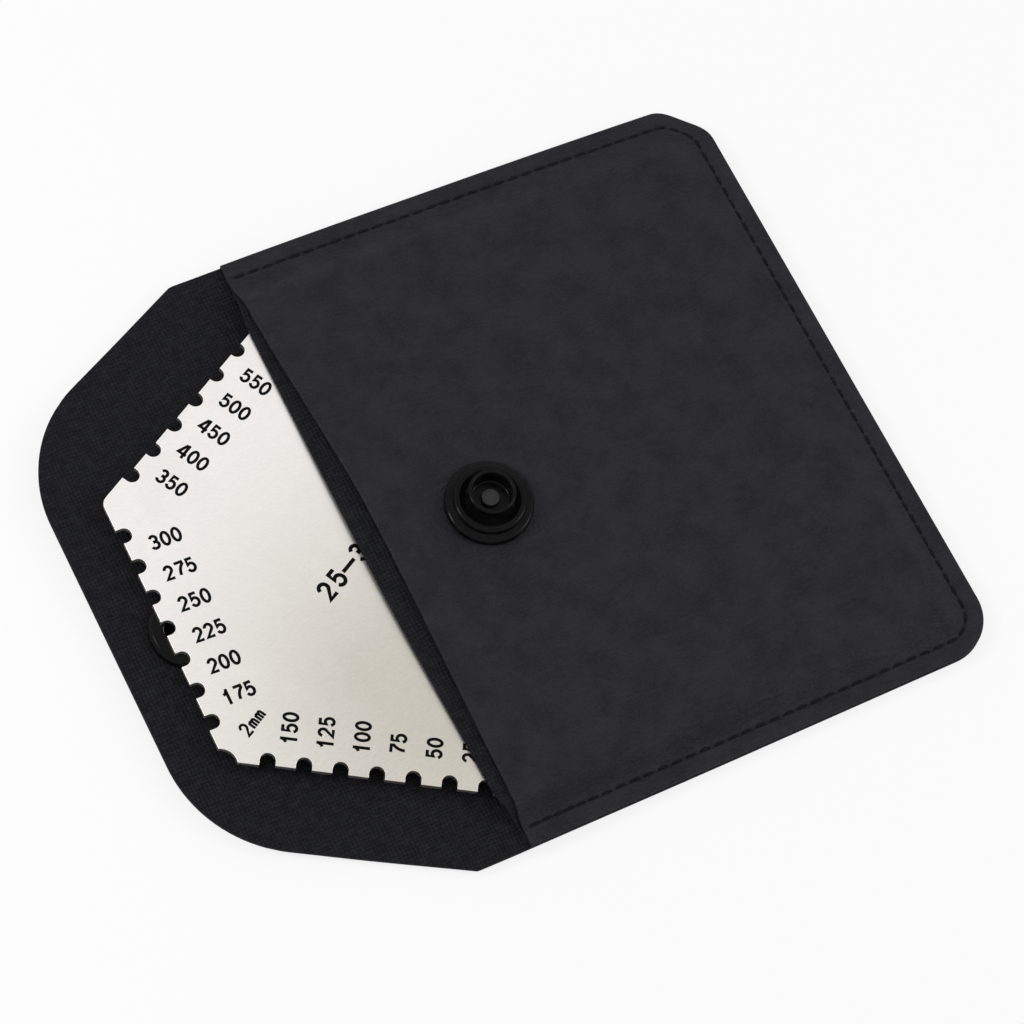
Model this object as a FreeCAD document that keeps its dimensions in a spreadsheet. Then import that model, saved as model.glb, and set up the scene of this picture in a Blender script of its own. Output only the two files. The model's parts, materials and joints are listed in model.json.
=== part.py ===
import FreeCAD, Part
import math
import os

# Wet film comb in its leatherette pouch.
# +X runs along the pouch towards its closed end, +Y across it and +Z up.
# The origin is the middle of the footprint, on the surface that the pouch lies on.

doc = FreeCAD.newDocument("wet_film_comb_in_pouch")
sheet = doc.addObject("Spreadsheet::Sheet", "sizes")

SIZES = (
    ("comb_side", 38.0, "length of one side of the hexagonal plate"),
    ("comb_thickness", 0.8, "thickness of the steel plate"),
    ("comb_turn", 0.6, "angle that the plate lies turned in the pouch, degrees"),
    ("comb_tilt", 1.55, "angle that the plate slopes down into the pouch, degrees"),
    ("notch_width", 2.0, "width of the round-bottomed notches"),
    ("notch_pitch", 4.55, "distance from one notch to the next"),
    ("notch_depth", 1.75, "depth of the notches on the fine sides"),
    ("notch_spare", 1.1, "least depth of a notch below its lowest tooth"),
    ("corner_notch", 2.0, "radius of the hollow corner"),
    ("corner_round", 3.0, "radius of the rounded corners"),
    ("leather_thickness", 0.6, "thickness of the leatherette"),
    ("lining_thickness", 0.3, "thickness of the woven lining"),
    ("pouch_length", 69.7, "front panel, from its mouth to the closed end"),
    ("pouch_width", 91.0, "width of the pouch over its rim"),
    ("pouch_corner", 7.0, "outer radius of the corners at the closed end"),
    ("mouth_to_crease", 4.0, "distance from the front panel's mouth to the flap's crease"),
    ("flap_length", 30.9, "length of the flap from its crease to its tip"),
    ("flap_shoulder", 2.3, "how far the flap's lower side stands in from the pouch's"),
    ("shoulder_round", 2.0, "radius of that shoulder"),
    ("flap_low_slope", 29.7, "slope of the flap's lower cut, degrees"),
    ("flap_high_slope", 25.2, "slope of the flap's upper cut, degrees"),
    ("flap_corner", 18.5, "radius of the flap's two corners"),
    ("crown_inset", 3.2, "distance from the edge to the foot of the raised front"),
    ("crown_slope", 4.5, "width of the slope up to the raised front"),
    ("comb_gap", 0.2, "play between the plate and the front lining"),
    ("seam_inset", 2.4, "distance from the edge to the stitch line"),
    ("seam_groove", 0.7, "width of the groove that the stitches sink into"),
    ("groove_depth", 0.25, "depth of that groove"),
    ("stitch_pitch", 2.0, "distance from one stitch to the next"),
    ("stitch_length", 1.5, "visible length of one stitch"),
    ("thread_thickness", 0.2, "thickness of the flattened thread"),
    ("thread_width", 0.45, "width of the flattened thread"),
    ("crease_to_socket", 21.0, "distance from the crease to the snap socket on the flap"),
    ("washer_diameter", 11.6, "outer diameter of the stud's washer"),
    ("washer_height", 1.2, "height of the stud's washer"),
    ("flange_diameter", 9.4, "outer diameter of the stud's flange"),
    ("flange_height", 0.9, "height of the stud's flange above the washer"),
    ("post_diameter", 6.0, "diameter of the stud's head"),
    ("post_neck", 5.6, "diameter of the stud's neck"),
    ("post_height", 1.9, "height of the post above its flange"),
    ("post_hollow", 4.8, "diameter of the hollow in the post"),
    ("post_bevel", 0.25, "bevel round the post's rim"),
    ("hollow_bevel", 0.1, "bevel inside the post's rim"),
    ("rivet_diameter", 2.4, "diameter of the rivet's shank"),
    ("rivet_head", 8.6, "diameter of the rivet's head"),
    ("rivet_head_height", 0.3, "thickness of the rivet's head"),
    ("rivet_end_height", 1.0, "height of the rivet's end above the flange's foot"),
    ("rivet_bevel", 0.2, "bevel round the rivet's end"),
    ("socket_diameter", 10.4, "outer diameter of the snap socket"),
    ("socket_height", 1.5, "height of the snap socket"),
    ("socket_bevel", 0.5, "bevel round the snap socket"),
    ("socket_floor", 0.5, "depth of the socket below its spring"),
    ("snap_play", 0.3, "radial play between the post and the socket"),
    ("snap_lift", 0.05, "play between the closed socket and the flange"),
    ("spring_wire", 0.4, "diameter of the socket's spring wire"),
    ("spring_play", 0.1, "radial play between the spring ring and the stud's head"),
    ("cap_diameter", 11.6, "diameter of the snap cap"),
    ("cap_height", 0.8, "height of the cap's dome below the flap"),
    ("cap_rim", 0.3, "thickness of the cap's rim"),
    ("cap_wall", 0.25, "wall thickness of the cap and of its tube"),
    ("fit_play", 0.05, "radial play of the fastener parts in each other"),
    ("slide_play", 0.25, "room left at the closed end when the plate is home"),
    ("comb_seat", 0.05, "height of the plate above the snap socket"),
)

for row, (alias, value, meaning) in enumerate(SIZES, start=1):
    sheet.set("A%d" % row, meaning)
    sheet.set("B%d" % row, str(value))
    sheet.setAlias("B%d" % row, alias)
doc.recompute()


def size(alias):
    return float(sheet.get(alias))


SHEET = size("leather_thickness") + size("lining_thickness")

# The flap lies on the dome of its snap cap, so it tilts until the surface touches the dome.
dome_rise = size("cap_height") - size("cap_rim")
dome_radius = ((size("cap_diameter") / 2) ** 2 + dome_rise ** 2) / (2 * dome_rise)
dome_depth = dome_radius - size("cap_height")
FLAP_TILT = (math.asin(dome_radius / math.hypot(size("crease_to_socket"), dome_depth))
             - math.atan2(dome_depth, size("crease_to_socket")))
COMB_TILT = math.radians(size("comb_tilt"))

# Lengths along X
flap_reach = size("flap_length") * math.cos(FLAP_TILT) + SHEET * math.sin(FLAP_TILT)
back_length = size("pouch_length") + size("mouth_to_crease")
CREASE_X = (flap_reach - back_length) / 2
MOUTH_X = CREASE_X + size("mouth_to_crease")
CLOSED_X = CREASE_X + back_length
APOTHEM = size("comb_side") * math.sqrt(3) / 2
# The plate's near side lies on the socket, a third of its diameter past its middle.
near_reach = size("crease_to_socket") + size("socket_diameter") / 3
COMB_NEAR_X = CREASE_X - near_reach
COMB_X = COMB_NEAR_X + APOTHEM * math.cos(COMB_TILT)

# Heights, from the surface up
COMB_NEAR_Z = (SHEET + size("socket_height") + near_reach * math.sin(FLAP_TILT)
               + size("comb_seat"))
COMB_Z = COMB_NEAR_Z - APOTHEM * math.sin(COMB_TILT)
RIM_Z = SHEET


def over_comb(height):
    """A plane that lies height above the play over the plate, as a function of X."""
    return lambda x: (COMB_NEAR_Z + size("comb_thickness") + size("comb_gap") + height
                      - (x - COMB_NEAR_X) * math.tan(COMB_TILT))


PANEL_OVER = over_comb(SHEET)

# The closed flap lies parallel to the front panel, with its socket on the stud's flange.
# The fold's axis stands over the crease, as far from the open flap as from the closed one.
closed_at_crease = PANEL_OVER(CREASE_X) + (
    size("washer_height") + size("flange_height") + size("snap_lift")
    + size("socket_height")) / math.cos(COMB_TILT)
HINGE_Z = ((closed_at_crease * math.cos(COMB_TILT) + SHEET * math.cos(FLAP_TILT))
           / (math.cos(COMB_TILT) + math.cos(FLAP_TILT)))
STUD_RUN = (size("crease_to_socket") - (HINGE_Z - SHEET) * math.sin(FLAP_TILT)
            + (closed_at_crease - HINGE_Z) * math.sin(COMB_TILT))
STUD_X = (CREASE_X + STUD_RUN * math.cos(COMB_TILT)
          - (closed_at_crease - PANEL_OVER(CREASE_X)) * math.sin(COMB_TILT) * math.cos(COMB_TILT))
FOLD = 180 - math.degrees(FLAP_TILT) + size("comb_tilt")

# The plate slides home until its far side comes to the slope inside the closed end.
SLIDE = (CLOSED_X - size("crown_inset") - size("crown_slope") - size("slide_play")
         - COMB_X - APOTHEM)


def feature(name, shape, placement=None):
    """Adds a piece with a shape worked out here, and places it."""
    piece = doc.addObject("Part::Feature", name)
    piece.Shape = shape
    if placement is not None:
        piece.Placement = placement
    return piece


def extrusion(name, base, length_expression, placement=None):
    """Extrudes a face upwards by a length from the sheet."""
    piece = doc.addObject("Part::Extrusion", name)
    piece.Base = base
    piece.DirMode = "Custom"
    piece.Dir = FreeCAD.Vector(0, 0, 1)
    piece.Solid = True
    piece.setExpression("LengthFwd", length_expression)
    if placement is not None:
        piece.Placement = placement
    return piece


def cut(name, base, tool):
    piece = doc.addObject("Part::Cut", name)
    piece.Base = base
    piece.Tool = tool
    return piece


def arc_through(start, middle, end):
    return Part.Arc(start, middle, end).toShape()


def line(start, end):
    return Part.LineSegment(start, end).toShape()


def rounded_polygon(corners):
    """A closed wire from (point, radius) pairs: each corner with a radius is a tangent arc."""
    count = len(corners)
    trims = []
    for index, (point, radius) in enumerate(corners):
        before = corners[index - 1][0]
        after = corners[(index + 1) % count][0]
        if radius <= 0:
            trims.append((point, point, point))
            continue
        towards_before = (before - point).normalize()
        towards_after = (after - point).normalize()
        half = towards_before.getAngle(towards_after) / 2
        tangent = radius / math.tan(half)
        bisector = (towards_before + towards_after).normalize()
        centre = point + bisector * (radius / math.sin(half))
        trims.append((point + towards_before * tangent, centre - bisector * radius,
                      point + towards_after * tangent))
    edges = []
    for index, (start, middle, end) in enumerate(trims):
        if start != end:
            edges.append(arc_through(start, middle, end))
        edges.append(line(end, trims[(index + 1) % count][0]))
    return Part.Wire(edges)


def pouch_outline(inset, open_x, height, corner=None):
    """The pouch's U outline, moved inwards by inset and closed across its mouth at open_x.
    Its height is a number, or a plane as a function of X."""
    height_at = height if callable(height) else (lambda x: height)
    half = size("pouch_width") / 2 - inset
    end = CLOSED_X - inset
    # Corners keep one centre as the outline moves in, unless a radius is given.
    radius = corner if corner is not None else size("pouch_corner") - inset
    return rounded_polygon([
        (FreeCAD.Vector(open_x, -half, height_at(open_x)), 0),
        (FreeCAD.Vector(end, -half, height_at(end)), radius),
        (FreeCAD.Vector(end, half, height_at(end)), radius),
        (FreeCAD.Vector(open_x, half, height_at(open_x)), 0),
    ])


def prism(wire, height):
    return Part.Face(wire).extrude(FreeCAD.Vector(0, 0, height))


def turned(profile):
    """Turns a closed profile of (radius, height) points about Z."""
    points = [FreeCAD.Vector(radius, 0, height) for radius, height in profile]
    face = Part.Face(Part.makePolygon(points + points[:1]))
    return face.revolve(FreeCAD.Vector(0, 0, 0), FreeCAD.Vector(0, 0, 1), 360)


# Comb plate: each side has seven notches with six teeth between them, and the teeth
# stand back from the side's line by the wet film thickness that they are marked with.

MICRON = 0.001
TEETH = 6
# Sides in order anticlockwise from the right one, each with the smallest mark on it and
# the step from mark to mark, in microns
SCALE_MARKS = ((1000, 100), (650, 50), (350, 50), (175, 25), (25, 25), (1750, 250))
SIDES = len(SCALE_MARKS)
# Corners are numbered like the sides that start at them.
HOLLOW_CORNER = 4


def comb_corner(index):
    """The corner that side number index starts at."""
    angle = 2 * math.pi * (index - 0.5) / SIDES
    return FreeCAD.Vector(size("comb_side") * math.cos(angle),
                          size("comb_side") * math.sin(angle), 0)


def comb_side_edges(start, end, first, step, trim_start, trim_end):
    """Edges of one side from near its start corner to near its end corner."""
    along = (end - start).normalize()
    inward = FreeCAD.Vector(-along.y, along.x, 0)
    middle = (start + end) / 2
    half_width = size("notch_width") / 2
    depth = max(size("notch_depth"), first + (TEETH - 1) * step + size("notch_spare"))

    def at(distance, recess):
        return middle + along * distance + inward * recess

    edges = []
    here = start + along * trim_start
    for notch in range(TEETH + 1):
        centre = (notch - TEETH / 2) * size("notch_pitch")
        # Teeth grow shallower anticlockwise, so the largest value comes first.
        recess_before = 0 if notch == 0 else first + (TEETH - notch) * step
        recess_after = 0 if notch == TEETH else first + (TEETH - 1 - notch) * step
        wall_in = at(centre - half_width, depth - half_width)
        wall_out = at(centre + half_width, depth - half_width)
        edges.append(line(here, at(centre - half_width, recess_before)))
        edges.append(line(at(centre - half_width, recess_before), wall_in))
        edges.append(arc_through(wall_in, at(centre, depth), wall_out))
        edges.append(line(wall_out, at(centre + half_width, recess_after)))
        here = at(centre + half_width, recess_after)
    edges.append(line(here, end - along * trim_end))
    return edges


def comb_outline():
    edges = []
    # Half of the turn at a corner sets where its tangent arc starts and how far it cuts in.
    half_turn = math.pi / SIDES
    trims = [size("corner_round") * math.tan(half_turn)] * SIDES
    trims[HOLLOW_CORNER] = size("corner_notch")
    for index, (first, step) in enumerate(SCALE_MARKS):
        start, end, after = (comb_corner(index + turn) for turn in range(3))
        next_corner = (index + 1) % SIDES
        trim = trims[next_corner]
        edges += comb_side_edges(start, end, first * MICRON, step * MICRON, trims[index], trim)
        leave = end - (end - start).normalize() * trim
        enter = end + (after - end).normalize() * trim
        outward = FreeCAD.Vector(end).normalize()
        if next_corner == HOLLOW_CORNER:
            # A round bite about the corner itself
            middle = end - outward * size("corner_notch")
        else:
            middle = end - outward * size("corner_round") * (1 / math.cos(half_turn) - 1)
        edges.append(arc_through(leave, middle, enter))
    return Part.Wire(edges)


comb_face = feature("comb_face", Part.Face(comb_outline()))
comb_plate = extrusion(
    "comb_plate", comb_face, "sizes.comb_thickness",
    FreeCAD.Placement(FreeCAD.Vector(COMB_X, 0, COMB_Z),
                      FreeCAD.Rotation(FreeCAD.Vector(0, 1, 0), size("comb_tilt")).multiply(
                          FreeCAD.Rotation(FreeCAD.Vector(0, 0, 1), -size("comb_turn")))))

# Back panel and its lining, flat, with a small shoulder towards the flap

HALF_WIDTH = size("pouch_width") / 2
FLAP_LOW = size("flap_shoulder") - HALF_WIDTH


def back_outline(height):
    return rounded_polygon([
        (FreeCAD.Vector(CREASE_X, FLAP_LOW, height), 0),
        (FreeCAD.Vector(MOUTH_X, -HALF_WIDTH, height), size("shoulder_round")),
        (FreeCAD.Vector(CLOSED_X, -HALF_WIDTH, height), size("pouch_corner")),
        (FreeCAD.Vector(CLOSED_X, HALF_WIDTH, height), size("pouch_corner")),
        (FreeCAD.Vector(CREASE_X, HALF_WIDTH, height), 0),
    ])


def seam_groove(height):
    """The groove of the stitch line, as deep as groove_depth, from height up."""
    outer = pouch_outline(size("seam_inset") - size("seam_groove") / 2, MOUTH_X, height)
    inner = pouch_outline(size("seam_inset") + size("seam_groove") / 2, MOUTH_X, height)
    return prism(outer, size("groove_depth")).cut(prism(inner, size("groove_depth")))


back_face = feature("back_face", Part.Face(back_outline(0)))
back_blank = extrusion("back_blank", back_face, "sizes.leather_thickness")
back_groove = feature("back_groove", seam_groove(0))
back_panel = cut("back_panel", back_blank, back_groove)
back_lining = extrusion("back_lining", feature("back_lining_face", Part.Face(back_outline(0))),
                        "sizes.lining_thickness",
                        FreeCAD.Placement(FreeCAD.Vector(0, 0, size("leather_thickness")),
                                          FreeCAD.Rotation()))

# Front panel and its lining: a flat rim, sewn down, and a raised middle for the plate


def crown(layers, open_x):
    """The raised middle as a ruled loft, as high as the layers of sheet under it."""
    foot = pouch_outline(size("crown_inset"), open_x, RIM_Z + layers)
    top = pouch_outline(size("crown_inset") + size("crown_slope"), open_x, over_comb(layers),
                        size("pouch_corner") - size("crown_inset"))
    return Part.makeLoft([foot, top], True, True)


def raised_sheet(layers, thickness):
    """A sheet of the front, rim and crown, that lies on the layers of sheet under it."""
    rim = prism(pouch_outline(0, MOUTH_X, RIM_Z + layers), thickness)
    outside = crown(layers + thickness, MOUTH_X)
    inside = crown(layers, MOUTH_X)
    return rim.fuse(outside).cut(inside).removeSplitter()


def stud_place(height):
    """The stud's axis, square to the front panel, at a height above the panel."""
    foot = FreeCAD.Placement(FreeCAD.Vector(STUD_X, 0, PANEL_OVER(STUD_X)),
                             FreeCAD.Rotation(FreeCAD.Vector(0, 1, 0), size("comb_tilt")))
    return foot.multiply(FreeCAD.Placement(FreeCAD.Vector(0, 0, height), FreeCAD.Rotation()))


# The leatherette's thickness is upright, and this is it square to the tilted panel.
PANEL_DEPTH = size("leather_thickness") * math.cos(COMB_TILT)
RIVET_HOLE = size("rivet_diameter") / 2 + size("fit_play")
rim_top = RIM_Z + SHEET
front_blank = feature("front_blank", raised_sheet(size("lining_thickness"),
                                                  size("leather_thickness")))
seat_outer = size("rivet_head") / 2 + size("fit_play")
seat_top = 2 * PANEL_DEPTH
rivet_seat = turned([(0, 0), (seat_outer, 0), (seat_outer, size("rivet_head_height")),
                     (RIVET_HOLE, size("rivet_head_height")), (RIVET_HOLE, seat_top),
                     (0, seat_top)])
rivet_seat.Placement = stud_place(-PANEL_DEPTH)
front_cuts = feature("front_cuts", Part.makeCompound([
    seam_groove(rim_top - size("groove_depth")), rivet_seat]))
front_panel = cut("front_panel", front_blank, front_cuts)
front_lining = feature("front_lining", raised_sheet(0, size("lining_thickness")))

# Stitches: needle thread in the front's groove, bobbin thread in the back's


def seam_points():
    """Middle and direction of each stitch along the U of the stitch line."""
    path = pouch_outline(size("seam_inset"), MOUTH_X, 0)
    edges = path.Edges[:-1]
    total = sum(edge.Length for edge in edges)
    count = int(total / size("stitch_pitch"))
    first = (total - (count - 1) * size("stitch_pitch")) / 2
    places = []
    for index in range(count):
        distance = first + index * size("stitch_pitch")
        for edge in edges:
            if distance <= edge.Length:
                parameter = edge.getParameterByLength(distance)
                places.append((edge.valueAt(parameter), edge.tangentAt(parameter)))
                break
            distance -= edge.Length
    return places


def stitches(bottom):
    solids = []
    for point, direction in seam_points():
        stitch = Part.makeBox(size("stitch_length"), size("thread_width"), size("thread_thickness"),
                              FreeCAD.Vector(-size("stitch_length") / 2,
                                             -size("thread_width") / 2, bottom))
        angle = math.degrees(math.atan2(direction.y, direction.x))
        stitch.rotate(FreeCAD.Vector(0, 0, 0), FreeCAD.Vector(0, 0, 1), angle)
        stitch.translate(FreeCAD.Vector(point.x, point.y, 0))
        solids.append(stitch)
    return Part.makeCompound(solids)


needle_thread = feature("needle_thread", stitches(rim_top - size("groove_depth")))
bobbin_thread = feature("bobbin_thread", stitches(size("groove_depth") - size("thread_thickness")))

# Snap stud on the front panel: washer, hollow post with a flange, and the rivet in it

washer_outer = size("washer_diameter") / 2
flange_outer = size("flange_diameter") / 2
bevel = size("washer_height") / 2
stud_washer = feature("stud_washer", turned([
    (RIVET_HOLE, 0), (washer_outer, 0), (washer_outer, size("washer_height") - bevel),
    (washer_outer - bevel, size("washer_height")), (RIVET_HOLE, size("washer_height"))]),
    stud_place(0))

neck = size("post_neck") / 2
head = size("post_diameter") / 2
hollow = size("post_hollow") / 2
flange = size("flange_height")
post_top = flange + size("post_height")
snap_stud = feature("snap_stud", turned([
    (RIVET_HOLE, 0), (flange_outer, 0), (flange_outer, flange * 0.6),
    (flange_outer - flange * 0.4, flange), (neck, flange), (neck, post_top * 0.6),
    (head, post_top * 0.75), (head, post_top - size("post_bevel")),
    (head - size("post_bevel"), post_top), (hollow + size("hollow_bevel"), post_top),
    (hollow, post_top - size("hollow_bevel")), (hollow, flange * 0.5),
    (RIVET_HOLE, flange * 0.5)]),
    stud_place(size("washer_height")))

shank = size("rivet_diameter") / 2
rivet_top = PANEL_DEPTH + size("washer_height") + size("rivet_end_height")
stud_rivet = feature("stud_rivet", turned([
    (0, 0), (size("rivet_head") / 2, 0), (size("rivet_head") / 2, size("rivet_head_height")),
    (shank, size("rivet_head_height")), (shank, rivet_top - size("rivet_bevel")),
    (shank - size("rivet_bevel"), rivet_top), (0, rivet_top)]),
    stud_place(-PANEL_DEPTH))

# Flap: drawn lying flat with its crease at X 0 and its outer face at Z 0, then tilted
# about the top of the crease, so that it rests on the dome of its cap

flap_placement = FreeCAD.Placement(
    FreeCAD.Vector(CREASE_X, 0, 0),
    FreeCAD.Rotation(FreeCAD.Vector(0, 1, 0), math.degrees(FLAP_TILT)),
    FreeCAD.Vector(0, 0, SHEET))


def flap_outline(height):
    length = size("flap_length")
    low_tip = FLAP_LOW + length * math.tan(math.radians(size("flap_low_slope")))
    high_tip = HALF_WIDTH - length * math.tan(math.radians(size("flap_high_slope")))
    return rounded_polygon([
        (FreeCAD.Vector(0, HALF_WIDTH, height), 0),
        (FreeCAD.Vector(-length, high_tip, height), size("flap_corner")),
        (FreeCAD.Vector(-length, low_tip, height), size("flap_corner")),
        (FreeCAD.Vector(0, FLAP_LOW, height), 0),
    ])


post_bore = size("post_diameter") / 2 + size("snap_play")
tube_outer = post_bore + size("cap_wall")
sheet_hole = tube_outer + size("fit_play")


def flap_sheet(bottom, thickness):
    blank = prism(flap_outline(bottom), thickness)
    hole = Part.makeCylinder(sheet_hole, thickness,
                             FreeCAD.Vector(-size("crease_to_socket"), 0, bottom))
    return blank.cut(hole)


flap_panel = feature("flap_panel", flap_sheet(0, size("leather_thickness")), flap_placement)
flap_lining = feature("flap_lining",
                      flap_sheet(size("leather_thickness"), size("lining_thickness")),
                      flap_placement)


snap_placement = flap_placement.multiply(FreeCAD.Placement(
    FreeCAD.Vector(-size("crease_to_socket"), 0, 0), FreeCAD.Rotation()))

# Snap cap: a thin dome under the flap with a tube that holds the socket

socket_outer = size("socket_diameter") / 2
spring_inner = size("post_diameter") / 2 + size("spring_play")
chamber_outer = spring_inner + size("spring_wire") + 2 * size("fit_play")
chamber_low = SHEET + size("socket_floor")
chamber_high = chamber_low + size("spring_wire") + 2 * size("fit_play")
socket_top = SHEET + size("socket_height")


def dome(radius, lowest, half_width):
    """The part of a ball of this radius that stands below Z 0, as wide as half_width."""
    ball = Part.makeSphere(radius, FreeCAD.Vector(0, 0, lowest + radius))
    slab = Part.makeCylinder(half_width, radius, FreeCAD.Vector(0, 0, -radius))
    return ball.common(slab)


cap_outside = dome(dome_radius, -size("cap_height"), size("cap_diameter") / 2)
cap_inside = dome(dome_radius - size("cap_wall"), size("cap_wall") - size("cap_height"), post_bore)
cap_tube = Part.makeCylinder(tube_outer, chamber_low - size("fit_play"))
cap_bore = Part.makeCylinder(post_bore, chamber_low - size("fit_play"))
snap_cap = feature("snap_cap",
                   cap_outside.fuse(cap_tube).cut(cap_bore).cut(cap_inside).removeSplitter(),
                   snap_placement)

snap_socket = feature("snap_socket", turned([
    (sheet_hole, SHEET), (socket_outer, SHEET), (socket_outer, socket_top - size("socket_bevel")),
    (socket_outer - size("socket_bevel"), socket_top), (post_bore, socket_top),
    (post_bore, chamber_high),
    (chamber_outer, chamber_high), (chamber_outer, chamber_low), (sheet_hole, chamber_low)]),
    snap_placement)

# Spring ring: a split wire ring in the socket's chamber

wire = size("spring_wire") / 2
socket_spring = feature("socket_spring", Part.makeTorus(
    spring_inner + wire, wire,
    FreeCAD.Vector(0, 0, (chamber_low + chamber_high) / 2),
    FreeCAD.Vector(0, 0, 1), 0, 360, 320), snap_placement)

doc.recompute()

PARTS = (comb_plate, back_panel, back_lining, front_panel, front_lining, needle_thread,
         bobbin_thread, stud_washer, snap_stud, stud_rivet, flap_panel, flap_lining,
         snap_cap, snap_socket, socket_spring)

for piece in doc.Objects:
    for state in ("Invalid", "Error"):
        if state in piece.State:
            raise RuntimeError("%s failed: %s" % (piece.Name, piece.State))
for piece in PARTS:
    piece.Label = piece.Name
    if piece.Shape.isNull() or not piece.Shape.isValid():
        raise RuntimeError("%s has no valid shape" % piece.Name)

os.makedirs("parts", exist_ok=True)
for piece in PARTS:
    piece.Shape.exportStep(os.path.join("parts", piece.Label + ".step"))
    box = piece.Shape.BoundBox
    print("%-14s solids %3d volume %9.2f  x %.2f..%.2f  y %.2f..%.2f  z %.3f..%.3f" % (
        piece.Label, len(piece.Shape.Solids), piece.Shape.Volume,
        box.XMin, box.XMax, box.YMin, box.YMax, box.ZMin, box.ZMax))
print("crease x %.4f  hinge z %.4f  fold %.3f degrees  slide %.3f  mouth x %.3f" % (
    CREASE_X, HINGE_Z, FOLD, SLIDE, MOUTH_X))
print("comb centre x %.4f z %.4f  near side x %.4f z %.4f  stud x %.4f panel over %.4f" % (
    COMB_X, COMB_Z, COMB_NEAR_X, COMB_NEAR_Z, STUD_X, PANEL_OVER(STUD_X)))
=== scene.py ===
"""Dresses the frame of a wet film comb, half drawn out of its snap-fastened pouch."""

import json
import math

import bmesh
import bpy
import numpy as np
from bpy.props import FloatProperty, FloatVectorProperty, PointerProperty
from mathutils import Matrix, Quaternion, Vector


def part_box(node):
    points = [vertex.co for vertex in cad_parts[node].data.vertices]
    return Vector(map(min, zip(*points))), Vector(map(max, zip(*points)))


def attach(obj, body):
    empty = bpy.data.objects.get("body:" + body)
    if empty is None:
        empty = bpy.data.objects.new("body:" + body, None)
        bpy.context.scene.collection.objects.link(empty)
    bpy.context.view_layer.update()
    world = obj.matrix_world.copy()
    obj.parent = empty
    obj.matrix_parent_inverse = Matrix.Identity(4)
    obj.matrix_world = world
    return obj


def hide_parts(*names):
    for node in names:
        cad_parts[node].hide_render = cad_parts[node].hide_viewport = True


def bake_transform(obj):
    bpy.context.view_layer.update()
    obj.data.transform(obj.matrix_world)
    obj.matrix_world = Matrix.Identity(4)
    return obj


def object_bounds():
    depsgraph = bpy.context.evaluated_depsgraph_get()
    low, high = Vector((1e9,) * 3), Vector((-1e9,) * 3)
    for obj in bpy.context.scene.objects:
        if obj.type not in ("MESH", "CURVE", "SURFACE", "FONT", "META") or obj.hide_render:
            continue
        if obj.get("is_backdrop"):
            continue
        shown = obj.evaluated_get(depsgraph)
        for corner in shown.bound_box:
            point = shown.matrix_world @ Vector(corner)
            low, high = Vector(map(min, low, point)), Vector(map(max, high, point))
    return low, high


bl_info = {
    "name": "Wet film comb in its pouch",
    "version": (1, 0, 0),
    "blender": (4, 5, 0),
    "location": "3D View > Sidebar > Film comb",
    "description": "Leatherette, lining, stitches, snap and scale for the frame of a wet film comb",
    "category": "Object",
}

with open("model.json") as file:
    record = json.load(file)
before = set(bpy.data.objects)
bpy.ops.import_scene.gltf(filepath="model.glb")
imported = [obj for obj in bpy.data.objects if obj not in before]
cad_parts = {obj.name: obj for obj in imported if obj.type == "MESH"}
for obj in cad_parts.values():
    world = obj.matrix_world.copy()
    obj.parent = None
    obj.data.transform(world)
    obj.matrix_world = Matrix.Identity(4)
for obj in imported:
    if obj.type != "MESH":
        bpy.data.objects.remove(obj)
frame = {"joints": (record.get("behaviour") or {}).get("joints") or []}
CAD_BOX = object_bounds()
MM = 0.001


# The frame's own sizes, in metres


def extent(node):
    low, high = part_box(node)
    return np.array(low), np.array(high)


def joint(name):
    return next(entry for entry in frame["joints"] if entry["name"] == name)


CREASE_X, _, _ = extent("back_panel")[0]
CLOSED_X, HALF_WIDTH, LEATHER = extent("back_panel")[1]
SHEET = extent("back_lining")[1][2]
LINING = SHEET - LEATHER
MOUTH_X = extent("front_panel")[0][0]
MOUTH_TOP = extent("front_panel")[1][2]
FLAP_LOW = extent("flap_panel")[0][1]
COMB_TILT = math.atan2(-joint("comb_slide")["axis"][2], joint("comb_slide")["axis"][0])
FLAP_TILT = math.pi + COMB_TILT - math.radians(joint("flap_fold")["range_deg"][1])
FLAP_LENGTH = (CREASE_X - extent("flap_panel")[0][0]) / math.cos(FLAP_TILT)
COMB_THICKNESS = 0.8 * MM
WASHER_RADIUS = extent("stud_washer")[1][1]
STUD_X = extent("stud_washer")[0][0] + WASHER_RADIUS * math.cos(COMB_TILT)
CAP_RADIUS = extent("snap_cap")[1][1]
SOCKET_X = (extent("snap_cap")[0][0] + extent("snap_cap")[1][0]) / 2
SOCKET_REACH = (CREASE_X - SOCKET_X - SHEET * math.sin(FLAP_TILT)) / math.cos(FLAP_TILT)


def length(description, millimetres):
    return FloatProperty(description=description, default=millimetres * MM, unit="LENGTH",
                         precision=5)


def angle(description, degrees):
    return FloatProperty(description=description, default=math.radians(degrees),
                         subtype="ANGLE")


def colour(description, value):
    return FloatVectorProperty(description=description, default=value, subtype="COLOR",
                               min=0, max=1)


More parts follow.
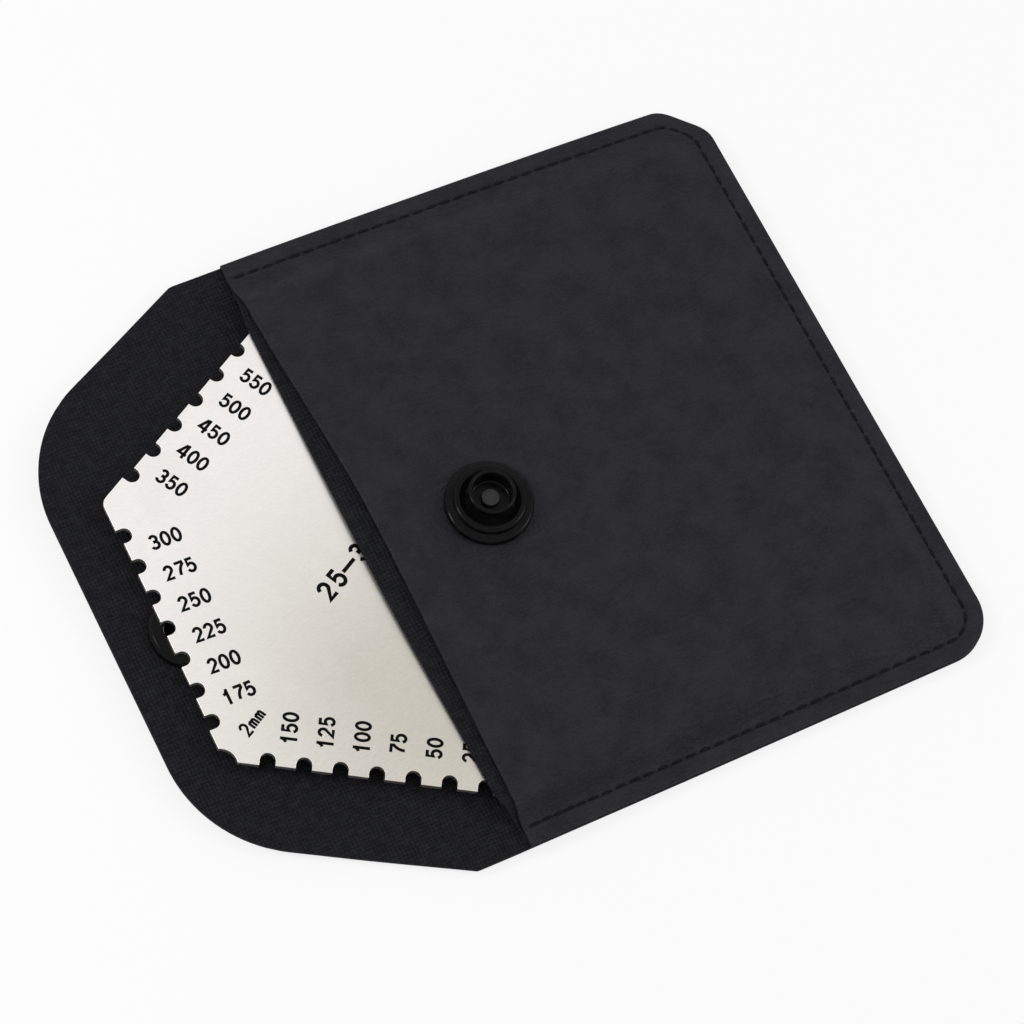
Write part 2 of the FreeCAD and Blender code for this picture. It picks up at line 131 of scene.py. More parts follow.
class CombSizes(bpy.types.PropertyGroup):
    side: length("Length of one side of the hexagonal plate", 38.0)
    turn: angle("Angle that the plate lies turned in the pouch", 0.6)
    notch_width: length("Width of the round-bottomed notches", 2.0)
    notch_pitch: length("Distance from one notch to the next", 4.55)
    notch_depth: length("Depth of the notches on the fine sides", 1.75)
    notch_spare: length("Least depth of a notch below its lowest tooth", 1.1)
    corner_notch: length("How far the hollow reaches along each side", 1.7)
    hollow_radius: length("Radius of the hollow at that corner", 2.2)
    corner_round: length("Radius of the rounded corners", 1.4)
    broken_edge: length("Width of the bevel on the plate's edges", 0.05)
    digit_height: length("Height of the numbers on the scale", 2.15)
    digit_width: length("Width of one digit of the scale", 1.36)
    digit_gap: length("Gap between two digits of the scale", 0.12)
    digit_stroke: length("Width of the strokes of the scale's numbers", 0.40)
    ink_height: length("Thickness of the printed numbers", 0.012)


class PouchSizes(bpy.types.PropertyGroup):
    corner: length("Radius of the corners at the closed end", 6.3)
    high_side: length("Distance of the sewn sheets' upper side from the middle", 45.35)
    taper: length("How much nearer each side is at the closed end than at the mouth", 0.9)
    high_cut: length("Distance from the crease to the upper cut", 3.2)
    low_cut: length("Distance from the crease to the lower cut", 1.3)
    lean: length("How far the closed end's two corners lean out and in", 0.5)
    nip: length("How much the upper corner is cut flatter than its arc", 0.9)
    flap_corner: length("Radius of the flap's two corners", 18.5)
    flap_low_slope: angle("Slope of the flap's lower cut", 29.7)
    flap_high_slope: angle("Slope of the flap's upper cut", 26.0)
    crown_inset: length("Distance from the edge to the raised front's foot", 3.2)
    crown_slope: length("Width of the slope up to the raised front", 4.5)
    low_crown_inset: length("Crown inset along the lower side", 2.7)
    low_crown_slope: length("Crown slope along the lower side", 2.9)
    seam_inset: length("Distance from the edge to the stitch line", 2.4)
    seam_groove: length("Width of the groove that the stitches sink into", 0.7)
    groove_depth: length("Depth of that groove", 0.25)
    stitch_pitch: length("Distance from one stitch to the next", 2.0)
    stitch_length: length("Visible length of one stitch", 1.6)
    thread_width: length("Width of the flattened thread", 0.45)
    crease_lift: length("How far the crease stands off the surface", 0.5)
    mouth_set: length("How far the mouth's lower part stands back", 2.0)
    mouth_gape: length("How far the middle of the mouth stands open", 1.3)
    # The lining's dark strip past the leatherette at the mouth is partly the lining itself and
    # partly a painted shadow where the mouth's shadow falls on the plate.
    lining_and_shadow_reach: length("How far the lining stands out at the mouth", 1.0)


class SnapSizes(bpy.types.PropertyGroup):
    washer_height: length("Height of the stud's washer", 1.2)
    flange_radius: length("Outer radius of the stud's flange", 4.8)
    flange_height: length("Height of the flange above the washer", 0.9)
    head_radius: length("Radius of the stud's head", 3.1)
    neck_radius: length("Radius of the stud's neck", 2.85)
    hollow_radius: length("Radius of the hollow in the stud", 2.6)
    post_height: length("Height of the post above its flange", 1.9)
    rivet_radius: length("Radius of the rivet's shank", 1.2)
    rivet_head: length("Radius of the rivet's head", 4.3)
    socket_radius: length("Outer radius of the snap socket", 5.2)
    socket_height: length("Height of the snap socket", 1.5)
    bore_radius: length("Radius of the socket's bore", 3.3)
    wire: length("Diameter of the socket's spring wire", 0.4)
    cap_height: length("Height of the cap's dome below the flap", 0.8)
    cap_rim: length("Thickness of the cap's rim", 0.3)
    wall: length("Wall thickness of the cap and its tube", 0.25)
    play: length("Radial play of the fastener parts in each other", 0.05)


class Finishes(bpy.types.PropertyGroup):
    leatherette: colour("Colour of the outer sheet", (0.0142, 0.0140, 0.0165))
    lining: colour("Colour of the woven lining", (0.0086, 0.0088, 0.0104))
    thread: colour("Colour of the stitches", (0.0030, 0.0030, 0.0035))
    steel: colour("Colour of the comb's satin steel", (0.855, 0.83, 0.812))
    # Colour of the patch near the pouch's mouth: partly a finger smudge, partly painted shade.
    smudge: colour("Colour of the steel where it is fingered", (0.54, 0.508, 0.445))
    ink: colour("Colour of the printed numbers", (0.002, 0.002, 0.002))
    snap: colour("Colour of the painted snap fastener", (0.0035, 0.0035, 0.0038))
    rivet: colour("Colour of the rivet's end", (0.022, 0.0215, 0.023))
    wire: colour("Colour of the spring wire", (0.52, 0.52, 0.53))
    floor: colour("Colour of the floor", (0.86, 0.86, 0.86))


class StageSettings(bpy.types.PropertyGroup):
    aim: FloatVectorProperty(description="Point that the camera looks at",
                             default=(3.008 * MM, -0.685 * MM, 0), unit="LENGTH")
    azimuth: angle("Camera's angle round the object, from the front", -40.08)
    elevation: angle("Camera's angle above the floor", 64.69)
    roll: angle("Turn of the camera about its own axis", 15.36)
    distance: length("Distance from the aim to the camera", 561.1)
    lens: FloatProperty(description="Focal length in millimetres", default=153.29)
    ambient: FloatProperty(description="Strength of the light from all sides",
                           default=0.62, min=0)


# Shader maths


class Shade:
    """A socket of a node tree that takes part in arithmetic by adding Math nodes."""

    def __init__(self, tree, socket):
        self.tree = tree
        self.socket = socket

    def math(self, operation, *others, reflected=False):
        terms = [*others, self] if reflected else [self, *others]
        return self.tree.add("ShaderNodeMath", {"operation": operation},
                             dict(enumerate(terms)))

    def __add__(self, other):
        return self.math("ADD", other)

    __radd__ = __add__

    def __sub__(self, other):
        return self.math("SUBTRACT", other)

    def __rsub__(self, other):
        return self.math("SUBTRACT", other, reflected=True)

    def __mul__(self, other):
        return self.math("MULTIPLY", other)

    __rmul__ = __mul__

    def __truediv__(self, other):
        return self.math("DIVIDE", other)

    def __pow__(self, other):
        return self.math("POWER", other)

    def larger(self, other):
        return self.math("MAXIMUM", other)

    def size(self):
        return self.math("ABSOLUTE")

    def floor(self):
        return self.math("FLOOR")

    def part(self):
        return self.math("FRACT")

    def cosine(self):
        return self.math("COSINE")

    def part_xyz(self, axis):
        return self.tree.add("ShaderNodeSeparateXYZ", {}, {"Vector": self}, axis)

    def between(self, low, high):
        """0 below low, 1 above high and smooth between them."""
        return self.tree.add("ShaderNodeMapRange", {"interpolation_type": "SMOOTHSTEP"},
                             {"Value": self, "From Min": low, "From Max": high})


class ShaderTree:
    """The node tree of a material or of the world, filled by Python expressions."""

    def __init__(self, owner):
        owner.use_nodes = True
        self.nodes = owner.node_tree.nodes
        self.links = owner.node_tree.links
        self.nodes.clear()

    def add(self, kind, settings, values, output=0):
        """Adds a node, sets its settings first, then its sockets' values or links."""
        node = self.nodes.new(kind)
        for name, value in settings.items():
            setattr(node, name, value)
        for name, value in values.items():
            if isinstance(value, Shade):
                self.links.new(value.socket, node.inputs[name])
            else:
                node.inputs[name].default_value = value
        return Shade(self, node.outputs[output]) if node.outputs else None

    def place(self):
        return self.add("ShaderNodeTexCoord", {}, {}, "Object")

    def flat(self):
        """Where a point lay on the uncut sheet, in metres."""
        return self.add("ShaderNodeAttribute", {"attribute_name": "flat"}, {}, "Vector")

    def noise(self, where, pitch, detail=2.0, roughness=0.5):
        """Smooth noise whose bumps are about one pitch apart."""
        return self.add("ShaderNodeTexNoise", {}, {
            "Vector": where, "Scale": 1 / pitch, "Detail": detail, "Roughness": roughness})

    def stretched(self, where, scale, turn=0.0):
        return self.add("ShaderNodeMapping", {}, {
            "Vector": where, "Scale": scale, "Rotation": (0, 0, turn)})

    def cells(self, where, pitch, feature="F1"):
        return self.add("ShaderNodeTexVoronoi", {"feature": feature}, {
            "Vector": where, "Scale": 1 / pitch}, "Distance")

    def blend(self, factor, first, second):
        """A colour from the first at 0 to the second at 1."""
        node = self.nodes.new("ShaderNodeMix")
        node.data_type = "RGBA"
        for socket, value in (("Factor_Float", factor), ("A_Color", first), ("B_Color", second)):
            target = next(entry for entry in node.inputs if entry.identifier == socket)
            if isinstance(value, Shade):
                self.links.new(value.socket, target)
            else:
                target.default_value = value
        result = next(entry for entry in node.outputs if entry.identifier == "Result_Color")
        return Shade(self, result)

    def bump(self, height, depth, strength=1.0):
        return self.add("ShaderNodeBump", {}, {
            "Height": height, "Distance": depth, "Strength": strength})

    def surface(self, **values):
        named = {name.replace("_", " ").title().replace("Ior", "IOR"): value
                 for name, value in values.items()}
        shader = self.add("ShaderNodeBsdfPrincipled", {}, named)
        self.add("ShaderNodeOutputMaterial", {}, {"Surface": shader})


def rgba(value, factor=1.0):
    return (*(min(channel * factor, 1.0) for channel in value), 1.0)


def finishes():
    return bpy.context.scene.comb_finishes


def kept(maker):
    """Makes a material once, named after its function, and hands it out after that."""
    def material():
        name = maker.__name__ + "_finish"
        found = bpy.data.materials.get(name)
        if found is None:
            found = bpy.data.materials.new(name)
            maker(ShaderTree(found))
        return found
    return material


@kept
def leatherette(tree):
    """Black coated cloth: pebbled grain, fine creases and a slightly mottled tone."""
    flat = tree.flat()
    warp = tree.noise(flat, 2.2 * MM, 3.0)
    grain = tree.cells(flat, 0.55 * MM, "SMOOTH_F1")
    fine = tree.noise(flat, 0.3 * MM, 3.0, 0.7)
    creases = (tree.noise(tree.stretched(flat, (0.35, 1, 1), 0.3), 0.9 * MM, 4.0) - 0.5).size()
    mottle = tree.noise(flat, 5.0 * MM, 5.0, 0.65)
    height = grain * 0.9 + fine * 0.6 + creases.between(0.0, 0.08) * 0.5 + warp * 0.5
    # Partly painted shade: the colour is darker along the creases' grooves. Mottle and fine noise
    # add random tone.
    tone = (mottle * 0.5 + fine * 0.5 + creases * 0.3).between(0.34, 0.64)
    base = finishes().leatherette
    tree.surface(
        base_color=tree.blend(tone, rgba(base, 0.65), rgba(base, 1.48)),
        roughness=0.52 + 0.12 * mottle, specular_ior_level=0.11,
        normal=tree.bump(height, 0.09 * MM, 1.0))


@kept
def woven_lining(tree):
    """Coarse black plain weave: warp and weft pass over each other in turn."""
    flat = tree.flat()
    pitch = 0.5 * MM
    sway = tree.noise(flat, 3.0 * MM, 4.0, 0.6) * 1.6
    across = flat.part_xyz(0) / pitch + sway
    along = flat.part_xyz(1) / pitch + sway

    def thread(over, other, sign):
        round_top = 1 - (over.part() * 2 - 1) ** 2
        ride = ((other - 0.5) * math.pi).cosine() * (over.floor() * math.pi).cosine()
        return round_top + ride * (0.55 * sign)

    warp = thread(across, along, 1)
    weft = thread(along, across, -1)
    weave = warp.larger(weft)
    fuzz = tree.noise(flat, 0.12 * MM, 3.0)
    patch = tree.noise(flat, 1.6 * MM, 4.0, 0.7)
    base = finishes().lining
    fleck = tree.noise(tree.stretched(flat, (0.45, 1, 1)), 0.45 * MM, 3.0, 0.7)
    # Painted shade and random tone: thread crowns lighter and the hollows between threads darker,
    # with fuzz, patches and flecks.
    weave_shade_and_flecks = (weave * 0.2 + fuzz * 0.3 + patch * 0.55 + fleck * 0.6).between(0.72, 1.24)
    tree.surface(
        base_color=tree.blend(weave_shade_and_flecks, rgba(base, 0.4), rgba(base, 1.95)),
        roughness=0.82 - 0.1 * fuzz, specular_ior_level=0.10,
        normal=tree.bump(weave + fuzz * 0.3, 0.10 * MM, 0.6))


@kept
def comb_steel(tree):
    """Satin stainless sheet, rolled one way, with a faintly clouded sheen, and a warmer,
    darker patch towards the pouch's mouth that is partly a finger smudge and partly
    painted shade for the dimmer reflection there."""
    where = tree.place()
    rolled = tree.noise(tree.stretched(where, (0.12, 1, 1), 0.52), 0.12 * MM, 3.0)
    clouds = tree.noise(where, 9.0 * MM, 5.0, 0.6)
    specks = tree.noise(where, 0.25 * MM, 2.0)
    # Painted shade, partly a real smudge: darker and warmer towards this point near the pouch's
    # mouth, where the steel's reflection is dimmer.
    smudge_and_shade_distance = tree.add("ShaderNodeVectorMath", {"operation": "DISTANCE"}, {
        0: where, 1: (-14 * MM, -24 * MM, 3 * MM)}, "Value")
    smudge_and_shade = (smudge_and_shade_distance / (44 * MM) + clouds * 0.5).between(1.34, 0.35)
    grain = (rolled * 0.6 + specks * 0.4).between(0.35, 0.65)
    tone = smudge_and_shade * 0.85 + grain * 0.14 + clouds.between(0.42, 0.62) * 0.08
    tree.surface(
        base_color=tree.blend(tone, rgba(finishes().steel), rgba(finishes().smudge)),
        metallic=1.0, roughness=0.36 + 0.08 * rolled,
        normal=tree.bump(rolled * 0.7 + specks * 0.3, 0.004 * MM, 0.5))


@kept
def printed_ink(tree):
    """Baked black print with a slightly uneven face."""
    where = tree.place()
    patch = tree.noise(where, 0.3 * MM, 3.0)
    base = finishes().ink
    tree.surface(
        base_color=tree.blend(patch, rgba(base, 0.7), rgba(base, 1.4)),
        roughness=0.6 + 0.15 * patch, specular_ior_level=0.06)


@kept
def snap_black(tree):
    """Glossy black lacquer on pressed metal, thinner and duller where it is rubbed."""
    where = tree.place()
    rubbed = tree.noise(where, 1.2 * MM, 4.0, 0.7).between(0.45, 0.75)
    peel = tree.noise(where, 0.25 * MM, 2.0)
    base = finishes().snap
    tree.surface(
        base_color=tree.blend(rubbed, rgba(base), rgba(base, 2.0)),
        roughness=0.16 + 0.12 * rubbed, specular_ior_level=0.075,
        normal=tree.bump(peel, 0.006 * MM, 0.5))


@kept
def rivet_metal(tree):
    """Dull pressed rivet end with fine pits."""
    where = tree.place()
    pits = tree.noise(where, 0.18 * MM, 4.0, 0.7)
    base = finishes().rivet
    tree.surface(
        base_color=tree.blend(pits.between(0.35, 0.65), rgba(base, 0.75), rgba(base, 1.3)),
        metallic=0.25, roughness=0.55 + 0.2 * pits,
        normal=tree.bump(pits, 0.03 * MM, 0.7))


@kept
def spring_wire(tree):
    """Bright drawn wire."""
    streaks = tree.noise(tree.place(), 0.1 * MM, 2.0)
    base = finishes().wire
    tree.surface(
        base_color=tree.blend(streaks, rgba(base, 0.9), rgba(base, 1.05)),
        metallic=1.0, roughness=0.22 + 0.1 * streaks)


@kept
def thread(tree):
    """Matt black sewing thread with a fine twist."""
    fibres = tree.noise(tree.stretched(tree.place(), (1, 1, 1), 0.8), 0.07 * MM, 3.0)
    base = finishes().thread
    tree.surface(
        base_color=tree.blend(fibres.between(0.3, 0.7), rgba(base, 0.6), rgba(base, 1.8)),
        roughness=0.85, specular_ior_level=0.15,
        normal=tree.bump(fibres, 0.03 * MM, 0.7))


# Meshes from arrays

LATHE_STEPS = 96
# Points nearer to each other than this are one point of the mesh
WELD = 0.0005 * MM


def grid_faces(rows, columns, first=0):
    """Corner numbers of the quads of a grid whose points are stored row by row."""
    index = first + np.arange(rows * columns).reshape(rows, columns)
    return np.stack([index[:-1, :-1], index[1:, :-1], index[1:, 1:], index[:-1, 1:]],
                    axis=-1).reshape(-1, 4)


def finish_mesh(name, points, faces, material, flat=None, sharp=35):
    """Puts arrays in a mesh, merges its seams and poles, and turns its faces outwards."""
    mesh = bpy.data.meshes.new(name)
    mesh.from_pydata(points, [], faces)
    if flat is not None:
        mesh.attributes.new("flat", "FLOAT_VECTOR", "POINT")
        mesh.attributes["flat"].data.foreach_set("vector", flat.astype(np.float32).ravel())
    shell = bmesh.new()
    shell.from_mesh(mesh)
    bmesh.ops.remove_doubles(shell, verts=shell.verts, dist=WELD)
    bmesh.ops.recalc_face_normals(shell, faces=shell.faces)
    shell.to_mesh(mesh)
    shell.free()
    mesh.shade_smooth()
    mesh.set_sharp_from_angle(angle=math.radians(sharp))
    mesh.materials.append(material)
    piece = bpy.data.objects.new(name, mesh)
    bpy.context.scene.collection.objects.link(piece)
    return piece


def grids_mesh(name, grids, material, flat=None, sharp=35):
    """One mesh from several grids of points, each (rows, columns, 3)."""
    faces, first = [], 0
    for grid in grids:
        faces.append(grid_faces(*grid.shape[:2], first))
        first += grid.shape[0] * grid.shape[1]
    points = np.concatenate([grid.reshape(-1, 3) for grid in grids])
    return finish_mesh(name, points, np.concatenate(faces).tolist(), material, flat, sharp)


def rounded(corners, closed=True, step=6.0):
    """Points along a polyline of (x, y, radius) corners.

    A corner with a radius becomes the arc that touches both of its lines: its centre
    lies on the bisector at radius / sin(half angle), and it turns by 180 degrees less
    the corner's angle. Steps along it are about step degrees."""
    pieces = []
    count = len(corners)
    for index, (x, y, radius) in enumerate(corners):
        here = np.array([x, y], float)
        if radius <= 0 or (not closed and index in (0, count - 1)):
            pieces.append(here[None])
            continue
        before = np.array(corners[index - 1][:2], float) - here
        after = np.array(corners[(index + 1) % count][:2], float) - here
        before /= np.linalg.norm(before)
        after /= np.linalg.norm(after)
        half = math.acos(np.clip(before @ after, -1, 1)) / 2
        bisector = (before + after) / np.linalg.norm(before + after)
        centre = here + bisector * radius / math.sin(half)
        start = here + before * radius / math.tan(half) - centre
        left = before[0] * after[1] - before[1] * after[0] < 0
        turn = (math.pi - 2 * half) * (1 if left else -1)
        steps = max(2, int(abs(math.degrees(turn)) / step) + 1)
        swept = np.linspace(0, turn, steps + 1)[:, None]
        pieces.append(centre + start * np.cos(swept)
                      + np.array([-start[1], start[0]]) * np.sin(swept))
    return np.concatenate(pieces)


def smooth(value):
    """0 up to 0, 1 from 1, and 3t² − 2t³ between them."""
    t = np.clip(value, 0, 1)
    return t * t * (3 - 2 * t)


def lathed(profile):
    """A profile of (radius, height) points turned about Z, one row per profile point."""
    around = np.linspace(0, 2 * math.pi, LATHE_STEPS + 1)
    radius, height = profile[:, :1], profile[:, 1:]
    return np.dstack([radius * np.cos(around), radius * np.sin(around),
                      height + 0 * around])


def tilted(points, tilt, origin):
    """Points turned by tilt about +Y through 0, then moved to origin."""
    x, y, z = points[..., 0], points[..., 1], points[..., 2]
    turned = np.stack([x * math.cos(tilt) + z * math.sin(tilt), y,
                       z * math.cos(tilt) - x * math.sin(tilt)], axis=-1)
    return turned + np.asarray(origin)


# Comb plate

TEETH = 6
MICRON = 1e-6
# Sides anticlockwise from the right one: the smallest mark and the step, in microns
SCALE_MARKS = ((1000, 100), (650, 50), (350, 50), (175, 25), (25, 25), (1750, 250))
SIDES = len(SCALE_MARKS)
# Corners are numbered like the sides that start at them.
HOLLOW_CORNER = 4


def comb_sizes():
    return bpy.context.scene.comb_sizes


def comb_corner(index):
    turn = 2 * math.pi * (index - 0.5) / SIDES
    return comb_sizes().side * np.array([math.cos(turn), math.sin(turn)])


def side_frame(index):
    """Middle of a side, the direction along it anticlockwise, and the one inwards."""
    start, end = comb_corner(index), comb_corner(index + 1)
    along = (end - start) / np.linalg.norm(end - start)
    return (start + end) / 2, along, np.array([-along[1], along[0]])


def notched_side(index):
    """Points of one side. Each notch has straight walls and a half-round bottom, and the
    teeth between notches stand back from the side's line by their mark in microns."""
    sizes = comb_sizes()
    middle, along, inward = side_frame(index)
    first, step = (value * MICRON for value in SCALE_MARKS[index])
    half = sizes.notch_width / 2
    depth = max(sizes.notch_depth, first + (TEETH - 1) * step + sizes.notch_spare)
    swept = np.linspace(math.pi, 0, 17)
    bottom = np.stack([half * np.cos(swept), depth - half + half * np.sin(swept)], axis=1)
    pieces = []
    for notch in range(TEETH + 1):
        before = 0 if notch == 0 else first + (TEETH - notch) * step
        after = 0 if notch == TEETH else first + (TEETH - 1 - notch) * step
        shape = np.vstack([[-half, before], bottom, [half, after]])
        shape[:, 0] += (notch - TEETH / 2) * sizes.notch_pitch
        pieces.append(shape)
    local = np.concatenate(pieces)
    return middle + local[:, :1] * along + local[:, 1:] * inward


def corner_arc(index):
    """The arc at a corner: tangent to both sides, or a hollow whose ends lie on them."""
    sizes = comb_sizes()
    corner = comb_corner(index)
    outward = corner / np.linalg.norm(corner)
    aside = np.array([-outward[1], outward[0]])
    if index == HOLLOW_CORNER:
        half_chord = sizes.corner_notch * math.cos(math.pi / SIDES)
        half = math.asin(half_chord / sizes.hollow_radius)
        sunk = sizes.corner_notch * math.sin(math.pi / SIDES)
        centre = corner + outward * (sizes.hollow_radius * math.cos(half) - sunk)
        swept = np.linspace(-half, half, 17)[:, None]
        return centre + sizes.hollow_radius * (aside * np.sin(swept) - outward * np.cos(swept))
    centre = corner - outward * sizes.corner_round / math.cos(math.pi / SIDES)
    swept = np.linspace(-math.pi / SIDES, math.pi / SIDES, 13)[:, None]
    return centre + sizes.corner_round * (outward * np.cos(swept) + aside * np.sin(swept))


def comb_outline():
    pieces = []
    for index in range(SIDES):
        pieces += [corner_arc(index), notched_side(index)]
    return np.concatenate(pieces)


def inwards(outline):
    """At each point of a closed anticlockwise outline, the mitred step one unit inwards."""
    edge = np.roll(outline, -1, axis=0) - outline
    edge /= np.linalg.norm(edge, axis=1)[:, None]
    normal = np.stack([-edge[:, 1], edge[:, 0]], axis=1)
    before = np.roll(normal, 1, axis=0)
    cosine = np.sum(before * normal, axis=1)[:, None]
    return (before + normal) / (1 + cosine)


def on_plate(points):
    """From the plate's own frame, with its middle at 0 and its lower face at Z 0, to its
    place: turned in the pouch, sloped like its slide, and moved to the frame's box."""
    turn = -comb_sizes().turn
    outline = comb_outline()

    def turned(where):
        x, y = where[..., 0], where[..., 1]
        level = np.stack([x * math.cos(turn) - y * math.sin(turn),
                          x * math.sin(turn) + y * math.cos(turn), where[..., 2]], axis=-1)
        return tilted(level, COMB_TILT, (0, 0, 0))

    solid = np.vstack([np.c_[outline, np.full(len(outline), height)]
                       for height in (0, COMB_THICKNESS)])
    return turned(points) + extent("comb_plate")[0] - turned(solid).min(axis=0)


def comb_plate_mesh():
    """The outline carried through a bevelled edge profile of (inset, height), and closed
    by a face above and one below."""
    outline = comb_outline()
    step = inwards(outline)
    edge = comb_sizes().broken_edge
    soft = edge * (1 - math.sqrt(0.5))
    profile = ((edge, 0), (soft, soft), (0, edge), (0, COMB_THICKNESS - edge),
               (soft, COMB_THICKNESS - soft), (edge, COMB_THICKNESS))
    rings = [np.c_[outline + step * inset, np.full(len(outline), height)]
             for inset, height in profile]
    points = np.concatenate(rings)
    count = len(outline)
    index = np.arange(len(points)).reshape(len(rings), count)
    index = np.c_[index, index[:, :1]]
    walls = np.stack([index[:-1, :-1], index[:-1, 1:], index[1:, 1:], index[1:, :-1]],
                     axis=-1).reshape(-1, 4)
    faces = walls.tolist() + [index[0, -2::-1].tolist(), index[-1, :-1].tolist()]
    return finish_mesh("comb_sheet", on_plate(points), faces, comb_steel(), sharp=20)


# Numbers of the scale, as strokes in a box from 0 to 1


def bow(x, y, wide, high, start, end, count=15):
    """Part of an ellipse about (x, y), from one angle to another."""
    swept = np.radians(np.linspace(start, end, count))
    return np.c_[x + wide * np.cos(swept), y + high * np.sin(swept)]


def path(*pieces):
    return np.vstack([np.atleast_2d(piece) for piece in pieces])


GLYPHS = {
    "0": [bow(0.5, 0.5, 0.5, 0.5, 90, 450, 33)],
    "1": [path((0.54, 1.12), (0.54, -0.12)), path((0.02, 0.70), (0.30, 0.76), (0.54, 0.98))],
    "2": [path(bow(0.49, 0.71, 0.47, 0.29, 172, -32), (0.0, 0.0), (1.0, 0.0))],
    "3": [path(bow(0.47, 0.75, 0.43, 0.25, 160, -90), (0.32, 0.5)),
          path((0.32, 0.53), bow(0.47, 0.265, 0.50, 0.265, 90, -162))],
    "4": [path((0.56, 1.06), (-0.06, 0.25), (1.14, 0.25)), path((0.78, 1.12), (0.78, -0.12))],
    "5": [path((0.92, 1.0), (0.16, 1.0), (0.06, 0.50),
               bow(0.48, 0.32, 0.50, 0.32, 128, -160))],
    "6": [bow(0.5, 0.31, 0.5, 0.31, 90, 450, 33), bow(0.86, 0.31, 0.86, 0.69, 180, 98)],
    "7": [path((0.0, 1.0), (1.0, 1.0), bow(1.9, 0.0, 1.52, 1.0, 125, 180, 9))],
    "8": [bow(0.5, 0.76, 0.43, 0.24, 90, 450, 33), bow(0.5, 0.265, 0.5, 0.265, 90, 450, 33)],
    "9": [bow(0.5, 0.69, 0.5, 0.31, 90, 450, 33), bow(0.14, 0.69, 0.86, 0.69, 0, -82)],
    "-": [path((-0.40, 0.46), (1.40, 0.46))],
    "m": [path((0.0, 0.62), (0.0, 0.0)),
          path(bow(0.25, 0.42, 0.25, 0.20, 180, 0, 9), (0.5, 0.0)),
          path(bow(0.75, 0.42, 0.25, 0.20, 180, 0, 9), (1.0, 0.0))],
}


def stroke_ribbon(line, width):
    """Left and right edge of a stroke, at half its width along the mitred normals."""
    edge = np.diff(line, axis=0)
    edge /= np.linalg.norm(edge, axis=1)[:, None]
    closed = np.linalg.norm(line[0] - line[-1]) < width * 0.1
    ahead = np.vstack([edge, edge[:1] if closed else edge[-1:]])
    behind = np.vstack([edge[-1:] if closed else edge[:1], edge])
    normal_ahead = np.stack([-ahead[:, 1], ahead[:, 0]], axis=1)
    normal_behind = np.stack([-behind[:, 1], behind[:, 0]], axis=1)
    cosine = np.sum(normal_ahead * normal_behind, axis=1)[:, None]
    offset = (normal_ahead + normal_behind) / np.maximum(1 + cosine, 0.45) * width / 2
    return line + offset, line - offset


def ink_strokes(text, middle, reading, height, width, gap, stroke):
    """Slabs of ink for a text about its middle, read along a direction on the plate."""
    reading = np.asarray(reading, float)
    upward = np.array([-reading[1], reading[0]])
    total = len(text) * width + (len(text) - 1) * gap
    grids = []
    for place, sign in enumerate(text):
        left = -total / 2 + place * (width + gap) + stroke / 2
        for strokes in GLYPHS[sign]:
            line = np.c_[left + strokes[:, 0] * (width - stroke),
                         (strokes[:, 1] - 0.5) * (height - stroke)]
            flat = middle + line[:, :1] * reading + line[:, 1:] * upward
            one, other = stroke_ribbon(flat, stroke)
            low = COMB_THICKNESS - comb_sizes().ink_height
            high = COMB_THICKNESS + comb_sizes().ink_height
            loop = [np.c_[side, np.full(len(side), level)] for side, level in (
                (one, low), (one, high), (other, high), (other, low), (one, low))]
            slab = np.stack(loop)
            ends = [np.stack([slab[[0, 1], end], slab[[3, 2], end]]) for end in (0, -1)]
            grids += [slab, *ends]
    return grids


# Sheets of the pouch: a grid's points are (x, y, distance to the cut edge, distance to the
# sewn edge) on the flat sheet

# Distances of the grid lines from the edge, in millimetres
RING_STEPS = np.array([0, 0.02, 0.06, 0.12, 0.2, 0.3, 0.5, 0.9, 1.4, 1.85, 2.05, 2.15, 2.25,
                       2.4, 2.55, 2.65, 2.75, 2.95, 3.2, 3.6, 4.1, 4.7, 5.3, 5.9, 6.5, 7.0])
EDGE_STEPS = np.array([0, 0.02, 0.06, 0.12, 0.2, 0.3, 0.5, 0.8])
# Runs along X over which the forms of the cloth fade out
CREASE_FADE = 38 * MM
FLAP_FADE = 15 * MM
TILT_FADE = 10 * MM
MOUTH_FADE = 14 * MM
GAPE_FADE = 13 * MM
DROOP_FADE = 4.5 * MM
# Run along Y over which the mouth's lower part is set back, the run over which its middle
# gapes, and the run over which the raised front turns steeper
SET_FADE = 42 * MM
GAPE_SPAN = 0.8 * HALF_WIDTH
LOW_SPAN = 0.6 * HALF_WIDTH
# The two sheets of the front are one past LOOSE_END, over the run LOOSE_FADE before it
LOOSE_END = 43.5 * MM
LOOSE_FADE = 9 * MM
# Half side of the block round each hole in which the grid turns into rings
SOCKET_ROOM = 6 * MM
RIVET_ROOM = 4 * MM


def pouch_sizes():
    return bpy.context.scene.pouch_sizes


def along_pouch():
    """X of the grid lines from the mouth to where the closed corners start."""
    start = MOUTH_X + EDGE_STEPS[-1] * MM
    end = CLOSED_X - pouch_sizes().corner
    return np.concatenate([MOUTH_X + EDGE_STEPS[:-1] * MM, np.linspace(start, end, 74)])


def across_pouch():
    """Y of the grid lines between the closed corners."""
    reach = HALF_WIDTH - pouch_sizes().corner
    return np.linspace(-reach, reach, 93)


def rings():
    return RING_STEPS * (pouch_sizes().corner / RING_STEPS[-1])


